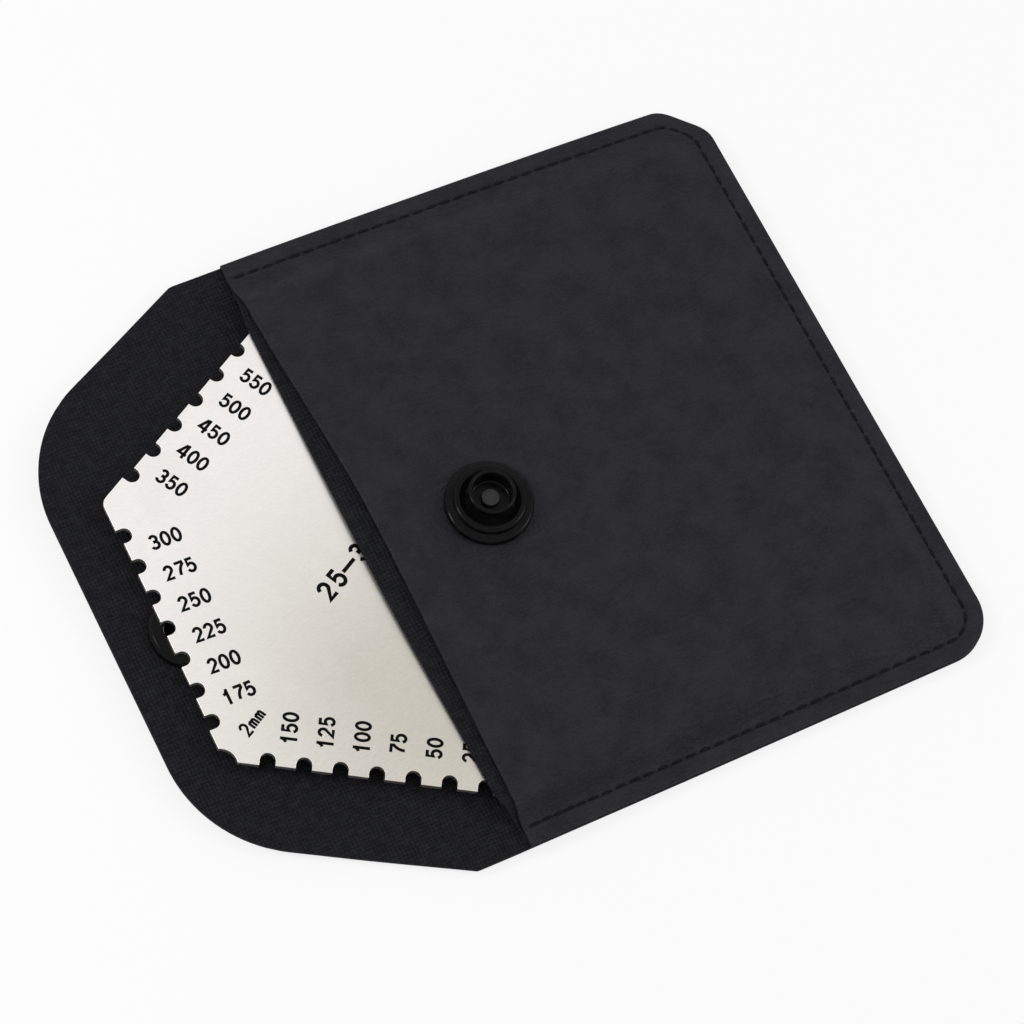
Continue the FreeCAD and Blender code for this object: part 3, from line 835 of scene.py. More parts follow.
def sewn(grid):
    """Moves points of the frame's straight outline to the outline that the cloth was cut
    and sewn to: both sides come in, more so at the closed end, the closed end leans, and
    its upper corner is flatter. The last value of each point, its distance to the sewn
    edge, stays."""
    sizes = pouch_sizes()
    x, y = grid[..., 0], grid[..., 1]
    run = np.clip((x - MOUTH_X) / (CLOSED_X - MOUTH_X), 0, 1)
    low_in = HALF_WIDTH + FLAP_LOW + sizes.taper * run
    high_in = HALF_WIDTH - sizes.high_side + 1.6 * sizes.taper * run ** 2
    reach = 0.8 * HALF_WIDTH
    moved = grid.copy()
    moved[..., 0] = x - sizes.lean * y / HALF_WIDTH * run
    moved[..., 1] = y + low_in * smooth(-y / reach) - high_in * smooth(y / reach)
    middle = sizes.corner * (1 - math.sqrt(0.5))
    away = np.hypot(x - (CLOSED_X - middle), y - (HALF_WIDTH - middle))
    pull = sizes.nip * math.sqrt(0.5) * smooth(1 - away / (0.8 * sizes.corner))
    moved[..., :2] -= pull[..., None]
    return moved


def border():
    """The strip along the pouch's three sewn sides, one row per distance from the edge.

    A row runs along the lower side, round a corner whose radius is the corner less that
    distance, along the closed end, round the other corner and back."""
    corner = pouch_sizes().corner
    inset = rings()[:, None]
    side, across = along_pouch(), across_pouch()
    quarter = np.radians(np.linspace(-90, 0, 17))
    centre_x, centre_y = CLOSED_X - corner, HALF_WIDTH - corner
    x = np.hstack([side + 0 * inset, centre_x + (corner - inset) * np.cos(quarter),
                   CLOSED_X - inset + 0 * across,
                   centre_x + (corner - inset) * np.cos(quarter + math.pi / 2),
                   side[::-1] + 0 * inset])
    y = np.hstack([inset - HALF_WIDTH + 0 * side,
                   (corner - inset) * np.sin(quarter) - centre_y, across + 0 * inset,
                   (corner - inset) * np.sin(quarter + math.pi / 2) + centre_y,
                   HALF_WIDTH - inset + 0 * side])
    return sewn(np.dstack([x, y, inset + 0 * x, inset + 0 * x]))


def field():
    """The rectangle inside that strip."""
    x, y = np.meshgrid(along_pouch(), across_pouch(), indexing="ij")
    inset = np.minimum(CLOSED_X - x, HALF_WIDTH - np.abs(y))
    return sewn(np.dstack([x, y, inset, inset]))


def flap_outline():
    """Lower and upper edge of the flap and its hinge strip, as (x, y) chains from tip."""
    sizes = pouch_sizes()
    tip = CREASE_X - FLAP_LENGTH
    high_side, high_cut = sizes.high_side, sizes.high_cut
    low_tip = FLAP_LOW + (FLAP_LENGTH - sizes.low_cut) * math.tan(sizes.flap_low_slope)
    high_tip = high_side - (FLAP_LENGTH - high_cut) * math.tan(sizes.flap_high_slope)
    low = rounded([(tip, 0, 0), (tip, low_tip, sizes.flap_corner),
                   (CREASE_X - sizes.low_cut, FLAP_LOW, 0.8 * MM), (MOUTH_X, FLAP_LOW, 0)],
                  closed=False, step=2)
    high = rounded([(tip, 0, 0), (tip, high_tip, sizes.flap_corner),
                    (CREASE_X - high_cut, high_side, 1.5 * MM), (MOUTH_X, high_side, 0)],
                   closed=False, step=2)
    return low, high


def flap_field():
    """The flap with its hinge strip, from its tip to the mouth. Each row across it has
    the same share of its width in each column as the row at the mouth."""
    low, high = flap_outline()
    tip = CREASE_X - FLAP_LENGTH
    corner = pouch_sizes().flap_corner
    swept = np.radians(np.arange(0, 54, 3))
    rows = np.concatenate([tip + corner * (1 - np.cos(swept)),
                           np.linspace(tip + corner * 0.45, MOUTH_X, 56)])
    lowest = np.interp(rows, low[1:, 0], low[1:, 1])[:, None]
    highest = np.interp(rows, high[1:, 0], high[1:, 1])[:, None]
    inset = rings()
    across = np.concatenate([inset - HALF_WIDTH, across_pouch()[1:-1],
                             HALF_WIDTH - inset[::-1]])
    mouth = sewn(np.stack([MOUTH_X + 0 * across, across], axis=-1))[:, 1]
    share = (mouth - mouth[0]) / (mouth[-1] - mouth[0])
    y = lowest + (highest - lowest) * share
    x = rows[:, None] + 0 * y
    slope_low = np.gradient(lowest[:, 0], rows)[:, None]
    slope_high = np.gradient(highest[:, 0], rows)[:, None]
    edge = np.minimum((y - lowest) / np.hypot(1, slope_low),
                      (highest - y) / np.hypot(1, slope_high))
    edge = np.minimum(edge, x - tip)
    return np.dstack([x, y, edge, pouch_sizes().corner + 0 * edge])


def with_hole(grid, centre, radius, room):
    """Splits a grid round a block, and fills the block with rings that shrink from its
    sides to a circle of this radius. The circle counts as an edge of the sheet."""
    rows, columns = grid[:, 0, 0], grid[len(grid) // 2, :, 1]
    top, bottom = np.searchsorted(rows, [centre[0] - room, centre[0] + room])
    left, right = np.searchsorted(columns, [centre[1] - room, centre[1] + room])
    loop = np.concatenate([grid[top, left:right], grid[top:bottom, right],
                           grid[bottom, right:left:-1], grid[bottom:top:-1, left],
                           grid[top, left:left + 1]])
    away = loop[:, :2] - centre
    circle = np.asarray(centre) + away / np.linalg.norm(away, axis=1)[:, None] * radius
    share = (1 - np.array([0, 0.008, 0.03, 0.07, 0.14, 0.25, 0.45, 0.7, 1]))[:, None, None]
    between = loop[None, :, :2] + (circle - loop[:, :2])[None] * share
    distance = np.linalg.norm(between - centre, axis=2) - radius
    seam = np.broadcast_to(loop[None, :, 3], distance.shape)
    rim = np.dstack([between, np.minimum(loop[None, :, 2], distance), seam])
    return [grid[:top + 1], grid[bottom:], grid[top:bottom + 1, :left + 1],
            grid[top:bottom + 1, right:], rim]


def lift(x):
    """Height of the springy crease over the surface: it fades out along the pouch and
    before the snap on the flap."""
    s = x - CREASE_X
    fade = np.where(s > 0, 1 - s / CREASE_FADE, 1 + s / FLAP_FADE)
    return pouch_sizes().crease_lift * smooth(fade)


def back_floor(x, y):
    """Height of the outer face: flat under the pouch, tilted on the flap, and lifted."""
    return lift(x) + np.maximum(CREASE_X - x, 0) * math.sin(FLAP_TILT)


def panel_top(x):
    """Height of the raised front's outer face, which slopes like the plate."""
    return MOUTH_TOP - (x - MOUTH_X) * math.tan(COMB_TILT)


def front_floor(x, y, seam, droop=0.0):
    """Height of the front lining's lower face: on the back at the sewn rim, and raised
    over the plate inside a smooth slope, which is steeper along the lower side, where
    the plate lies near the seam. The mouth gapes in its middle, less by the share droop
    at the cut edge itself."""
    sizes = pouch_sizes()
    rim = SHEET + lift(x)
    open_middle = 1 - smooth(np.abs(y) / GAPE_SPAN)
    gape = sizes.mouth_gape * open_middle * smooth(1 - (x - MOUTH_X) / GAPE_FADE)
    gape = gape * (1 - droop * (1 - smooth((x - MOUTH_X) / DROOP_FADE)))
    raised = panel_top(x) - SHEET + gape
    low = smooth(-y / LOW_SPAN)
    inset = sizes.crown_inset + (sizes.low_crown_inset - sizes.crown_inset) * low
    slope = sizes.crown_slope + (sizes.low_crown_slope - sizes.crown_slope) * low
    return rim + (raised - rim) * smooth((seam - inset) / slope)


def full_edge(edge, thickness):
    """Share of the sheet's thickness at a distance from its rounded cut edge."""
    inside = 1 - np.clip(edge / (thickness / 2), 0, 1)
    return np.sqrt(1 - inside ** 2)


def sheet_mesh(name, grids, floor, thickness, material, over=None, under=None, place=None):
    """A sheet of cloth from flat grids: its lower face lies on floor(x, y, seam), both
    faces meet in a round edge, and over or under sink grooves into it."""
    shapes = []
    flats = []
    for side in (1, -1):
        for grid in grids:
            x, y, edge, seam = np.moveaxis(grid, -1, 0)
            full = full_edge(edge, thickness)
            z = floor(x, y, seam) + thickness / 2 * (1 + side * full)
            groove = over if side > 0 else under
            if groove is not None:
                z = z - side * groove(seam) * full
            shape = np.dstack([x, y, z])
            shapes.append(place(shape) if place else shape)
            flats.append(np.dstack([x, y, 0 * x]).reshape(-1, 3))
    return grids_mesh(name, shapes, material, np.concatenate(flats), sharp=60)


def seam_groove(seam):
    """Depth of the stitch line's groove, a smooth dip about the seam."""
    sizes = pouch_sizes()
    aside = np.abs(seam - sizes.seam_inset) / (sizes.seam_groove / 2)
    return sizes.groove_depth * (1 - smooth(aside))


def back_place(points):
    """Shortens the flap's run along X to what its tilt leaves of it."""
    run = np.minimum(points[..., 0] - CREASE_X, 0)
    moved = points.copy()
    moved[..., 0] += run * (math.cos(FLAP_TILT) - 1) - SHEET * math.sin(FLAP_TILT) * smooth(
        -run / TILT_FADE)
    return moved


def front_place(points):
    """Sets the mouth's lower part back, and fades that out along the pouch."""
    low = 1 - smooth((points[..., 1] - 2 * MM) / SET_FADE)
    fade = smooth(1 - (points[..., 0] - MOUTH_X) / MOUTH_FADE)
    moved = points.copy()
    moved[..., 0] += pouch_sizes().mouth_set * low * fade
    return moved


def lining_place(points):
    """Carries the lining's mouth out past the leatherette's in a nearly straight line,
    and joins the two at the sewn ends. That dark strip of lining is partly a painted
    shadow: it stands where the mouth's shadow falls on the plate."""
    y = points[..., 1]
    fade = smooth(1 - (points[..., 0] - MOUTH_X) / MOUTH_FADE)
    reach = pouch_sizes().lining_and_shadow_reach * (1 - 1.2 * smooth(-y / SET_FADE))
    loose = smooth((LOOSE_END - np.abs(y)) / LOOSE_FADE)[..., None]
    moved = points.copy()
    moved[..., 0] -= reach * fade
    return moved * loose + front_place(points) * (1 - loose)


def back_grids():
    hole = SnapPlaces.sheet_hole()
    flap = with_hole(flap_field(), (CREASE_X - SOCKET_REACH, 0), hole, SOCKET_ROOM)
    return [border(), field(), *flap]


def front_grids(hole):
    """The front's grids, with the mouth counted as an edge of the sheet."""
    grids = [border(), *with_hole(field(), (STUD_X, 0), hole, RIVET_ROOM)]
    for grid in grids:
        grid[..., 2] = np.minimum(grid[..., 2], grid[..., 0] - MOUTH_X)
    return grids


def sheet_area(flap):
    """Flat area of the pouch's outline, with or without the flap and its hinge strip."""
    corner = pouch_sizes().corner
    mean_taper = 1.2 * pouch_sizes().taper
    width = pouch_sizes().high_side - FLAP_LOW - mean_taper
    area = width * (CLOSED_X - MOUTH_X) - (2 - math.pi / 2) * corner ** 2
    if flap:
        low, high = flap_outline()
        rows = np.linspace(CREASE_X - FLAP_LENGTH, MOUTH_X, 400)
        width = np.interp(rows, high[1:, 0], high[1:, 1]) - np.interp(rows, low[1:, 0], low[1:, 1])
        area += np.sum((width[1:] + width[:-1]) / 2 * np.diff(rows))
    return area


# Stitches


def seam_places():
    """Middle and direction of each stitch along the U of the stitch line."""
    sizes = pouch_sizes()
    inset, corner = sizes.seam_inset, sizes.corner
    radius = corner - inset
    straight = CLOSED_X - corner - MOUTH_X
    end = 2 * (HALF_WIDTH - corner)
    lengths = np.array([straight, radius * math.pi / 2, end, radius * math.pi / 2, straight])
    total = lengths.sum()
    count = int(total / sizes.stitch_pitch)
    run = (total - (count - 1) * sizes.stitch_pitch) / 2 + np.arange(count) * sizes.stitch_pitch
    bounds = np.concatenate([[0], np.cumsum(lengths)])
    part = np.clip(run[:, None] - bounds[:-1], 0, lengths)
    turn = (part[:, 1] + part[:, 3]) / radius
    corner_y = HALF_WIDTH - corner
    first = np.minimum(turn, math.pi / 2)
    second = np.maximum(turn - math.pi / 2, 0)
    x = MOUTH_X + part[:, 0] - part[:, 4] + radius * (np.sin(first) - 1 + np.cos(second))
    y = -corner_y - radius * np.cos(first) + part[:, 2] + radius * np.sin(second)
    return np.c_[front_place(sewn(np.stack([x, y], axis=1))), turn]


def stitch_mesh(name, height, sink):
    """Each stitch is a two-ply thread along a shallow arch that dives into the sheet at
    both ends. Its cross-section is an ellipse whose radius swells along the twist."""
    sizes = pouch_sizes()
    places = seam_places()
    draw = np.random.default_rng(41)
    slant, slant_spread, shift_spread = 4, 2.0, 0.03 * MM
    half_height, arch_height = 0.14 * MM, 0.16 * MM
    yaw = places[:, 2] + np.radians(slant + draw.normal(0, slant_spread, len(places)))
    shift = draw.normal(0, shift_spread, len(places))
    run = np.linspace(-1, 1, 9)[None, :, None]
    round_ = np.linspace(0, 2 * math.pi, 9)[None, None, :]
    taper = np.sqrt(np.clip(1 - np.abs(run) ** 3.5, 0, 1))
    ply = 1 + 0.10 * np.cos(2 * round_ + 5 * run)
    wide = sizes.thread_width / 2 * taper * ply * np.cos(round_)
    tall = half_height * taper * ply * np.sin(round_)
    arch = arch_height * (1 - run ** 2)
    along = sizes.stitch_length / 2 * run + 0 * round_
    cosine, sine = np.cos(yaw)[:, None, None], np.sin(yaw)[:, None, None]
    off = wide + shift[:, None, None]
    x = places[:, 0][:, None, None] + along * cosine - off * sine
    y = places[:, 1][:, None, None] + along * sine + off * cosine
    z = height(x, y) + sink * (arch + tall)
    grid = np.stack([x, y, z], axis=-1)
    return grids_mesh(name, list(grid), thread(), sharp=70)


# Snap fastener


def snap_sizes():
    return bpy.context.scene.snap_sizes


class SnapPlaces:
    """Places and sizes that the fastener's parts share."""

    @staticmethod
    def rivet_hole():
        return snap_sizes().rivet_radius + snap_sizes().play

    @staticmethod
    def sheet_hole():
        return snap_sizes().bore_radius + snap_sizes().wall + snap_sizes().play

    @staticmethod
    def on_panel(points, height):
        """From the stud's own axis to the raised front, at a height above it."""
        foot = np.array([STUD_X, 0, panel_top(STUD_X)])
        return tilted(points + np.array([0, 0, height]), COMB_TILT, foot)

    @staticmethod
    def on_flap(points):
        """From the socket's own axis, with the flap's outer face at Z 0, to the flap."""
        local = points + np.array([-SOCKET_REACH, 0, -SHEET])
        return tilted(local, FLAP_TILT, (CREASE_X, 0, SHEET))


def snap_piece(name, profile, material, place, closed=True, body="pouch"):
    """A lathed part of the fastener that takes the place of its frame node."""
    loop = np.vstack([profile, profile[:1]]) if closed else profile
    piece = grids_mesh(name, [place(lathed(loop))], material, sharp=50)
    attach(piece, body)
    return piece


def dome_profile(radius, lowest, reach, count=14):
    """Half section of a ball's cap from the axis out to reach."""
    out = np.linspace(0, reach, count)
    return np.c_[out, lowest + radius - np.sqrt(radius ** 2 - out ** 2)]


# Operators


class CombOperator(bpy.types.Operator):
    """Makes some of the comb's pieces."""

    bl_options = {"REGISTER", "UNDO"}

    def execute(self, context):
        self.make(context.scene)
        return {"FINISHED"}


class COMB_OT_plate(CombOperator):
    """Notched steel plate with a bevelled edge"""

    bl_idname = "comb.plate"
    bl_label = "Comb plate"

    def make(self, scene):
        plate = comb_plate_mesh()
        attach(plate, "comb")
        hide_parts("comb_plate")


class COMB_OT_numbers(CombOperator):
    """Printed marks along the six sides, the unit and the range"""

    bl_idname = "comb.numbers"
    bl_label = "Scale numbers"

    # Distance from the side's line to the middle of a mark, by its number of digits
    insets = {2: 5.1 * MM, 3: 5.4 * MM, 4: 6.2 * MM}
    # Middle of the unit and of the range, and their letters' height, width, gap and stroke
    unit_place = np.array([-27.6, -15.6]) * MM
    unit_letter = (2.0 * MM, 1.2 * MM, 0.12 * MM, 0.34 * MM)
    range_place = np.array([-5.57, 0.46]) * MM
    range_letter = (2.8 * MM, 1.85 * MM, 0.45 * MM, 0.52 * MM)
    range_slant = math.radians(29.5)

    def make(self, scene):
        sizes = scene.comb_sizes
        letter = (sizes.digit_height, sizes.digit_width, sizes.digit_gap, sizes.digit_stroke)
        for index, (first, step) in enumerate(SCALE_MARKS):
            middle, along, inward = side_frame(index)
            grids = []
            for tooth in range(TEETH):
                mark = str(first + (TEETH - 1 - tooth) * step)
                place = (middle + along * (tooth - (TEETH - 1) / 2) * sizes.notch_pitch
                         + inward * self.insets[len(mark)])
                grids += ink_strokes(mark, place, inward, *letter)
            self.print_on_comb(f"marks_side_{index + 1}", grids)
        inwards_from_corner = -comb_corner(HOLLOW_CORNER) / sizes.side
        self.print_on_comb("unit_mark", ink_strokes(
            "2mm", self.unit_place, inwards_from_corner, *self.unit_letter))
        reading = (math.cos(self.range_slant), math.sin(self.range_slant))
        self.print_on_comb("range_mark", ink_strokes(
            "25-3000", self.range_place, reading, *self.range_letter))

    @staticmethod
    def print_on_comb(name, grids):
        placed = [on_plate(grid) for grid in grids]
        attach(grids_mesh(name, placed, printed_ink(), sharp=30), "comb")


class COMB_OT_outer_sheet(CombOperator):
    """Leatherette of the back and the flap, in one sheet"""

    bl_idname = "comb.outer_sheet"
    bl_label = "Outer sheet"

    def make(self, scene):
        sheet = sheet_mesh("back_and_flap_leatherette", back_grids(),
                           lambda x, y, seam: back_floor(x, y), LEATHER, leatherette(),
                           under=seam_groove, place=back_place)
        bend_at_crease(sheet)
        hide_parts("back_panel", "flap_panel")
        sheet_area(True)


class COMB_OT_inner_sheet(CombOperator):
    """Woven lining of the back and the flap, in one sheet"""

    bl_idname = "comb.inner_sheet"
    bl_label = "Inner sheet"

    def make(self, scene):
        sheet = sheet_mesh("back_and_flap_lining", back_grids(),
                           lambda x, y, seam: back_floor(x, y) + LEATHER, LINING,
                           woven_lining(), place=back_place)
        bend_at_crease(sheet)
        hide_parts("back_lining", "flap_lining")
        sheet_area(True)


def bend_at_crease(sheet):
    """Bakes the sheet's placement into its mesh."""
    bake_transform(sheet)


class COMB_OT_front_panel(CombOperator):
    """Raised leatherette front with its grooved stitch line"""

    bl_idname = "comb.front_panel"
    bl_label = "Front panel"

    def make(self, scene):
        def floor(x, y, seam):
            return front_floor(x, y, seam) + LINING

        front = sheet_mesh("front_leatherette", front_grids(SnapPlaces.rivet_hole()), floor,
                           LEATHER, leatherette(), over=seam_groove, place=front_place)
        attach(front, "pouch")
        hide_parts("front_panel")
        sheet_area(False)


class COMB_OT_front_lining(CombOperator):
    """Woven lining under the raised front"""

    bl_idname = "comb.front_lining"
    bl_label = "Front lining"

    def make(self, scene):
        # The lining's edge droops towards the plate. Its strip past the leatherette is partly a
        # painted shadow of the mouth on the plate.
        def floor(x, y, seam):
            return front_floor(x, y, seam, droop=0.7)

        lining = sheet_mesh("front_lining_cloth", front_grids(SnapPlaces.rivet_hole()),
                            floor, LINING, woven_lining(), place=lining_place)
        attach(lining, "pouch")
        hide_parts("front_lining")
        sheet_area(False)


class COMB_OT_stitches(CombOperator):
    """Needle thread in the front's groove and bobbin thread in the back's"""

    bl_idname = "comb.stitches"
    bl_label = "Stitches"

    def make(self, scene):
        depth = scene.pouch_sizes.groove_depth

        def in_front(x, y):
            return SHEET + lift(x) + SHEET - depth

        def in_back(x, y):
            return lift(x) + depth

        for name, height, up, node in (("needle_stitches", in_front, 1, "needle_thread"),
                                       ("bobbin_stitches", in_back, -1, "bobbin_thread")):
            stitches = stitch_mesh(name, height, up)
            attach(stitches, "pouch")
            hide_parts(node)


class COMB_OT_stud(CombOperator):
    """Washer, hollow stud and rivet on the front"""

    bl_idname = "comb.stud"
    bl_label = "Snap stud"

    def make(self, scene):
        sizes = scene.snap_sizes
        hole = SnapPlaces.rivet_hole()
        high = sizes.washer_height
        washer = rounded([(hole, 0, 0), (WASHER_RADIUS, 0, 0.1 * MM),
                          (WASHER_RADIUS, high * 0.8, 0.5 * MM),
                          (sizes.flange_radius, high, 0.2 * MM), (hole, high, 0)], step=12)
        piece = snap_piece("stud_washer_ring", washer, snap_black(),
                           lambda points: SnapPlaces.on_panel(points, 0))
        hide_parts("stud_washer")
        self.post(sizes, hole)
        self.rivet(sizes)

    def post(self, sizes, hole):
        flange, rim = sizes.flange_height, sizes.flange_radius
        top = flange + sizes.post_height
        neck, head, hollow = sizes.neck_radius, sizes.head_radius, sizes.hollow_radius
        post = rounded([
            (hole, 0, 0), (rim, 0, 0.1 * MM), (rim, flange, 0.45 * MM),
            (rim - 0.8 * MM, flange, 0.4 * MM), (neck + 0.4 * MM, flange - 0.42 * MM, 0.3 * MM),
            (neck, flange - 0.42 * MM, 0), (neck, top * 0.6, 0.2 * MM),
            (head, top * 0.76, 0.2 * MM), (head, top, 0.24 * MM), (hollow, top, 0.2 * MM),
            (hollow, flange / 2, 0.3 * MM), (hole, flange / 2, 0)], step=12)
        piece = snap_piece("hollow_stud", post, snap_black(),
                           lambda points: SnapPlaces.on_panel(points, sizes.washer_height))
        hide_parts("snap_stud")

    def rivet(self, sizes):
        depth = LEATHER * math.cos(COMB_TILT)
        shank, head = sizes.rivet_radius, sizes.rivet_head
        top = depth + sizes.washer_height + 1.0 * MM
        rivet = rounded([(0, 0, 0), (head, 0, 0.08 * MM), (head, 0.3 * MM, 0.08 * MM),
                         (shank, 0.3 * MM, 0), (shank, top, 0.12 * MM), (0, top, 0)],
                        closed=False, step=12)
        piece = snap_piece("rivet_end", rivet, rivet_metal(),
                           lambda points: SnapPlaces.on_panel(points, -depth),
                           closed=False)
        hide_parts("stud_rivet")


class COMB_OT_flap_snap(CombOperator):
    """Cap, socket and split spring ring on the flap"""

    bl_idname = "comb.flap_snap"
    bl_label = "Flap snap"

    # Thickness of the socket's floor, and radius of the chamber round its spring
    socket_floor = 0.5 * MM
    chamber_radius = 3.6 * MM

    def make(self, scene):
        sizes = scene.snap_sizes
        self.cap(sizes)
        self.socket(sizes)
        self.spring(sizes)

    def cap(self, sizes):
        rise = sizes.cap_height - sizes.cap_rim
        radius = (CAP_RADIUS ** 2 + rise ** 2) / (2 * rise)
        bore, tube = sizes.bore_radius, sizes.bore_radius + sizes.wall
        top = SHEET + 0.45 * MM
        inner = dome_profile(radius - sizes.wall, sizes.wall - sizes.cap_height, bore)
        outer = dome_profile(radius, -sizes.cap_height, CAP_RADIUS - 0.12 * MM)
        rim = rounded([(*outer[-1], 0), (CAP_RADIUS, -sizes.cap_rim, 0.1 * MM),
                       (CAP_RADIUS, 0, 0.08 * MM), (tube, 0, 0), (tube, top, 0.05 * MM),
                       (bore, top, 0.05 * MM), (*inner[-1], 0)], closed=False, step=15)
        profile = np.vstack([outer, rim[1:-1], inner[::-1]])
        piece = snap_piece("domed_cap", profile, snap_black(), SnapPlaces.on_flap,
                           closed=False, body="flap")
        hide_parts("snap_cap")

    def socket(self, sizes):
        hole, outer, bore = SnapPlaces.sheet_hole(), sizes.socket_radius, sizes.bore_radius
        top = SHEET + sizes.socket_height
        low = SHEET + self.socket_floor
        high = low + sizes.wire + 2 * sizes.play
        chamber = self.chamber_radius + sizes.play
        profile = rounded([
            (hole, SHEET, 0), (outer, SHEET, 0.1 * MM), (outer, top - 0.5 * MM, 0.3 * MM),
            (outer - 0.5 * MM, top, 0.3 * MM), (bore, top, 0.2 * MM), (bore, high, 0),
            (chamber, high, 0), (chamber, low, 0), (hole, low, 0)], step=12)
        piece = snap_piece("socket_ring", profile, snap_black(), SnapPlaces.on_flap, body="flap")
        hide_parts("snap_socket")

    def spring(self, sizes):
        """A round wire carried 320 degrees round the socket's chamber, with closed ends."""
        middle = SHEET + self.socket_floor + sizes.wire / 2 + sizes.play
        bend = sizes.bore_radius
        around = np.radians(np.linspace(20, 340, 81))[:, None]
        section = np.radians(np.linspace(0, 360, 13))
        tube = np.vstack([around[:1], around, around[-1:]])
        shrink = np.concatenate([[0], np.ones(len(around)), [0]])[:, None]
        out = bend + sizes.wire / 2 * shrink * np.cos(section)
        ring = np.dstack([out * np.cos(tube), out * np.sin(tube),
                          middle + sizes.wire / 2 * shrink * np.sin(section)])
        piece = grids_mesh("spring_ring", [SnapPlaces.on_flap(ring)], spring_wire(), sharp=50)
        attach(piece, "flap")
        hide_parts("socket_spring")


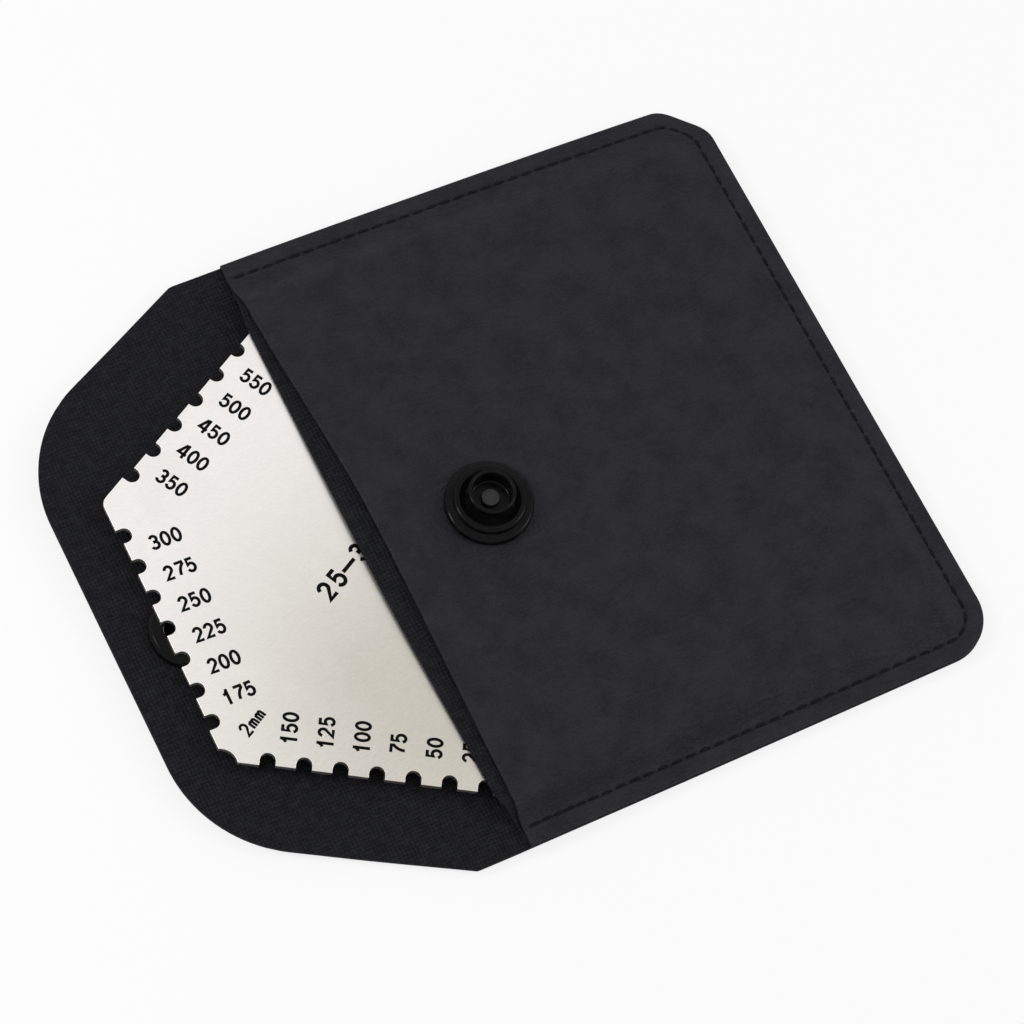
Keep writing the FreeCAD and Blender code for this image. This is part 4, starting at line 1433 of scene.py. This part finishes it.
class COMB_OT_stage(CombOperator):
    """Pale floor, soft lights and the camera"""

    bl_idname = "comb.stage"
    bl_label = "Stage"

    # Azimuth and elevation in degrees, side in metres, and share of the light
    lamps = {"key_light": (-112, 38, 0.16, 0.24), "fill_light": (64, 34, 0.20, 0.14)}
    lamp_distance = 0.6
    floor_half = 1.5
    floor_drop = 0.02 * MM
    floor_glow = 0.8

    def make(self, scene):
        self.floor()
        self.world(scene)
        self.lights(scene)
        self.camera(scene)
        scene.view_settings.view_transform = "Standard"

    def seen(self, tree):
        """1 for what the camera sees, straight or by a reflection, and 0 for light."""
        rays = [tree.add("ShaderNodeLightPath", {}, {}, name)
                for name in ("Is Camera Ray", "Is Glossy Ray", "Is Transmission Ray")]
        return rays[0].larger(rays[1]).larger(rays[2])

    def floor(self):
        half, below = self.floor_half, -self.floor_drop
        mesh = bpy.data.meshes.new("floor")
        mesh.from_pydata([(-half, -half, below), (half, -half, below), (half, half, below),
                          (-half, half, below)], [], [(0, 1, 2, 3)])
        paper = bpy.data.materials.new("floor_paper")
        tree = ShaderTree(paper)
        matt = tree.add("ShaderNodeBsdfDiffuse", {}, {"Color": rgba(finishes().floor)})
        glow = tree.add("ShaderNodeEmission", {}, {"Color": (1, 1, 1, 1), "Strength": 1.0})
        mixed = tree.add("ShaderNodeMixShader", {}, {
            0: self.seen(tree) * self.floor_glow, 1: matt, 2: glow})
        tree.add("ShaderNodeOutputMaterial", {}, {"Surface": mixed})
        mesh.materials.append(paper)
        floor = bpy.data.objects.new("floor", mesh)
        bpy.context.scene.collection.objects.link(floor)
        floor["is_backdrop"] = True

    def world(self, scene):
        world = bpy.data.worlds.new("pale_room")
        scene.world = world
        tree = ShaderTree(world)
        ambient = scene.comb_stage.ambient
        strength = self.seen(tree) * (1 - ambient) + ambient
        light = tree.add("ShaderNodeBackground", {}, {"Color": (1, 1, 1, 1), "Strength": strength})
        tree.add("ShaderNodeOutputWorld", {}, {"Surface": light})

    def lights(self, scene):
        """Area lights by azimuth and elevation round the aim, with the share of a white
        surface's brightness that each one gives."""
        for name, (azimuth, elevation, side, share) in self.lamps.items():
            distance = self.lamp_distance
            flux = share * math.pi ** 2 * distance ** 2 / math.sin(math.radians(elevation))
            lamp = bpy.data.lights.new(name, "AREA")
            lamp.shape = "SQUARE"
            lamp.size = side
            lamp.energy = flux
            light = bpy.data.objects.new(name, lamp)
            back = self.direction(math.radians(azimuth), math.radians(elevation))
            light.location = Vector(scene.comb_stage.aim) + back * distance
            light.rotation_mode = "QUATERNION"
            light.rotation_quaternion = back.to_track_quat("Z", "Y")
            scene.collection.objects.link(light)

    @staticmethod
    def direction(azimuth, elevation):
        """From the aim towards something at this azimuth and elevation."""
        return Vector((math.sin(azimuth) * math.cos(elevation),
                       -math.cos(azimuth) * math.cos(elevation), math.sin(elevation)))

    def camera(self, scene):
        stage = scene.comb_stage
        lens = bpy.data.cameras.new("camera")
        lens.lens = stage.lens
        lens.sensor_width = 36
        lens.clip_start, lens.clip_end = 0.01, 10
        camera = bpy.data.objects.new("camera", lens)
        back = self.direction(stage.azimuth, stage.elevation)
        camera.location = Vector(stage.aim) + back * stage.distance
        camera.rotation_mode = "QUATERNION"
        camera.rotation_quaternion = back.to_track_quat("Z", "Y") @ Quaternion(
            (0, 0, 1), stage.roll)
        scene.collection.objects.link(camera)
        scene.camera = camera


class COMB_PT_sidebar(bpy.types.Panel):
    """Sizes, finishes and the operators that make the pieces"""

    bl_label = "Film comb"
    bl_idname = "COMB_PT_sidebar"
    bl_space_type = "VIEW_3D"
    bl_region_type = "UI"
    bl_category = "Film comb"

    def draw(self, context):
        for group in GROUPS:
            settings = getattr(context.scene, group)
            box = self.layout.box()
            box.label(text=group.replace("_", " ").capitalize())
            for name in settings.__annotations__:
                box.prop(settings, name, text=name.replace("_", " ").capitalize())
        for operator in OPERATORS:
            self.layout.operator(operator.bl_idname)


GROUPS = {"comb_sizes": CombSizes, "pouch_sizes": PouchSizes, "snap_sizes": SnapSizes,
          "comb_finishes": Finishes, "comb_stage": StageSettings}
OPERATORS = (COMB_OT_stage, COMB_OT_plate, COMB_OT_numbers, COMB_OT_outer_sheet,
             COMB_OT_inner_sheet, COMB_OT_front_panel, COMB_OT_front_lining,
             COMB_OT_stitches, COMB_OT_stud, COMB_OT_flap_snap)


def register():
    for entry in (*GROUPS.values(), *OPERATORS, COMB_PT_sidebar):
        bpy.utils.register_class(entry)
    for name, group in GROUPS.items():
        setattr(bpy.types.Scene, name, PointerProperty(type=group))


def unregister():
    for name in GROUPS:
        delattr(bpy.types.Scene, name)
    for entry in (COMB_PT_sidebar, *OPERATORS[::-1], *list(GROUPS.values())[::-1]):
        bpy.utils.unregister_class(entry)


def main():
    register()
    for operator in OPERATORS:
        family, name = operator.bl_idname.split(".")
        getattr(getattr(bpy.ops, family), name)()
    boxes = {"cad": CAD_BOX, "visual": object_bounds()}
    {name: [list(corner) for corner in box] for name, box in boxes.items()}


if __name__ == "__main__":
    main()
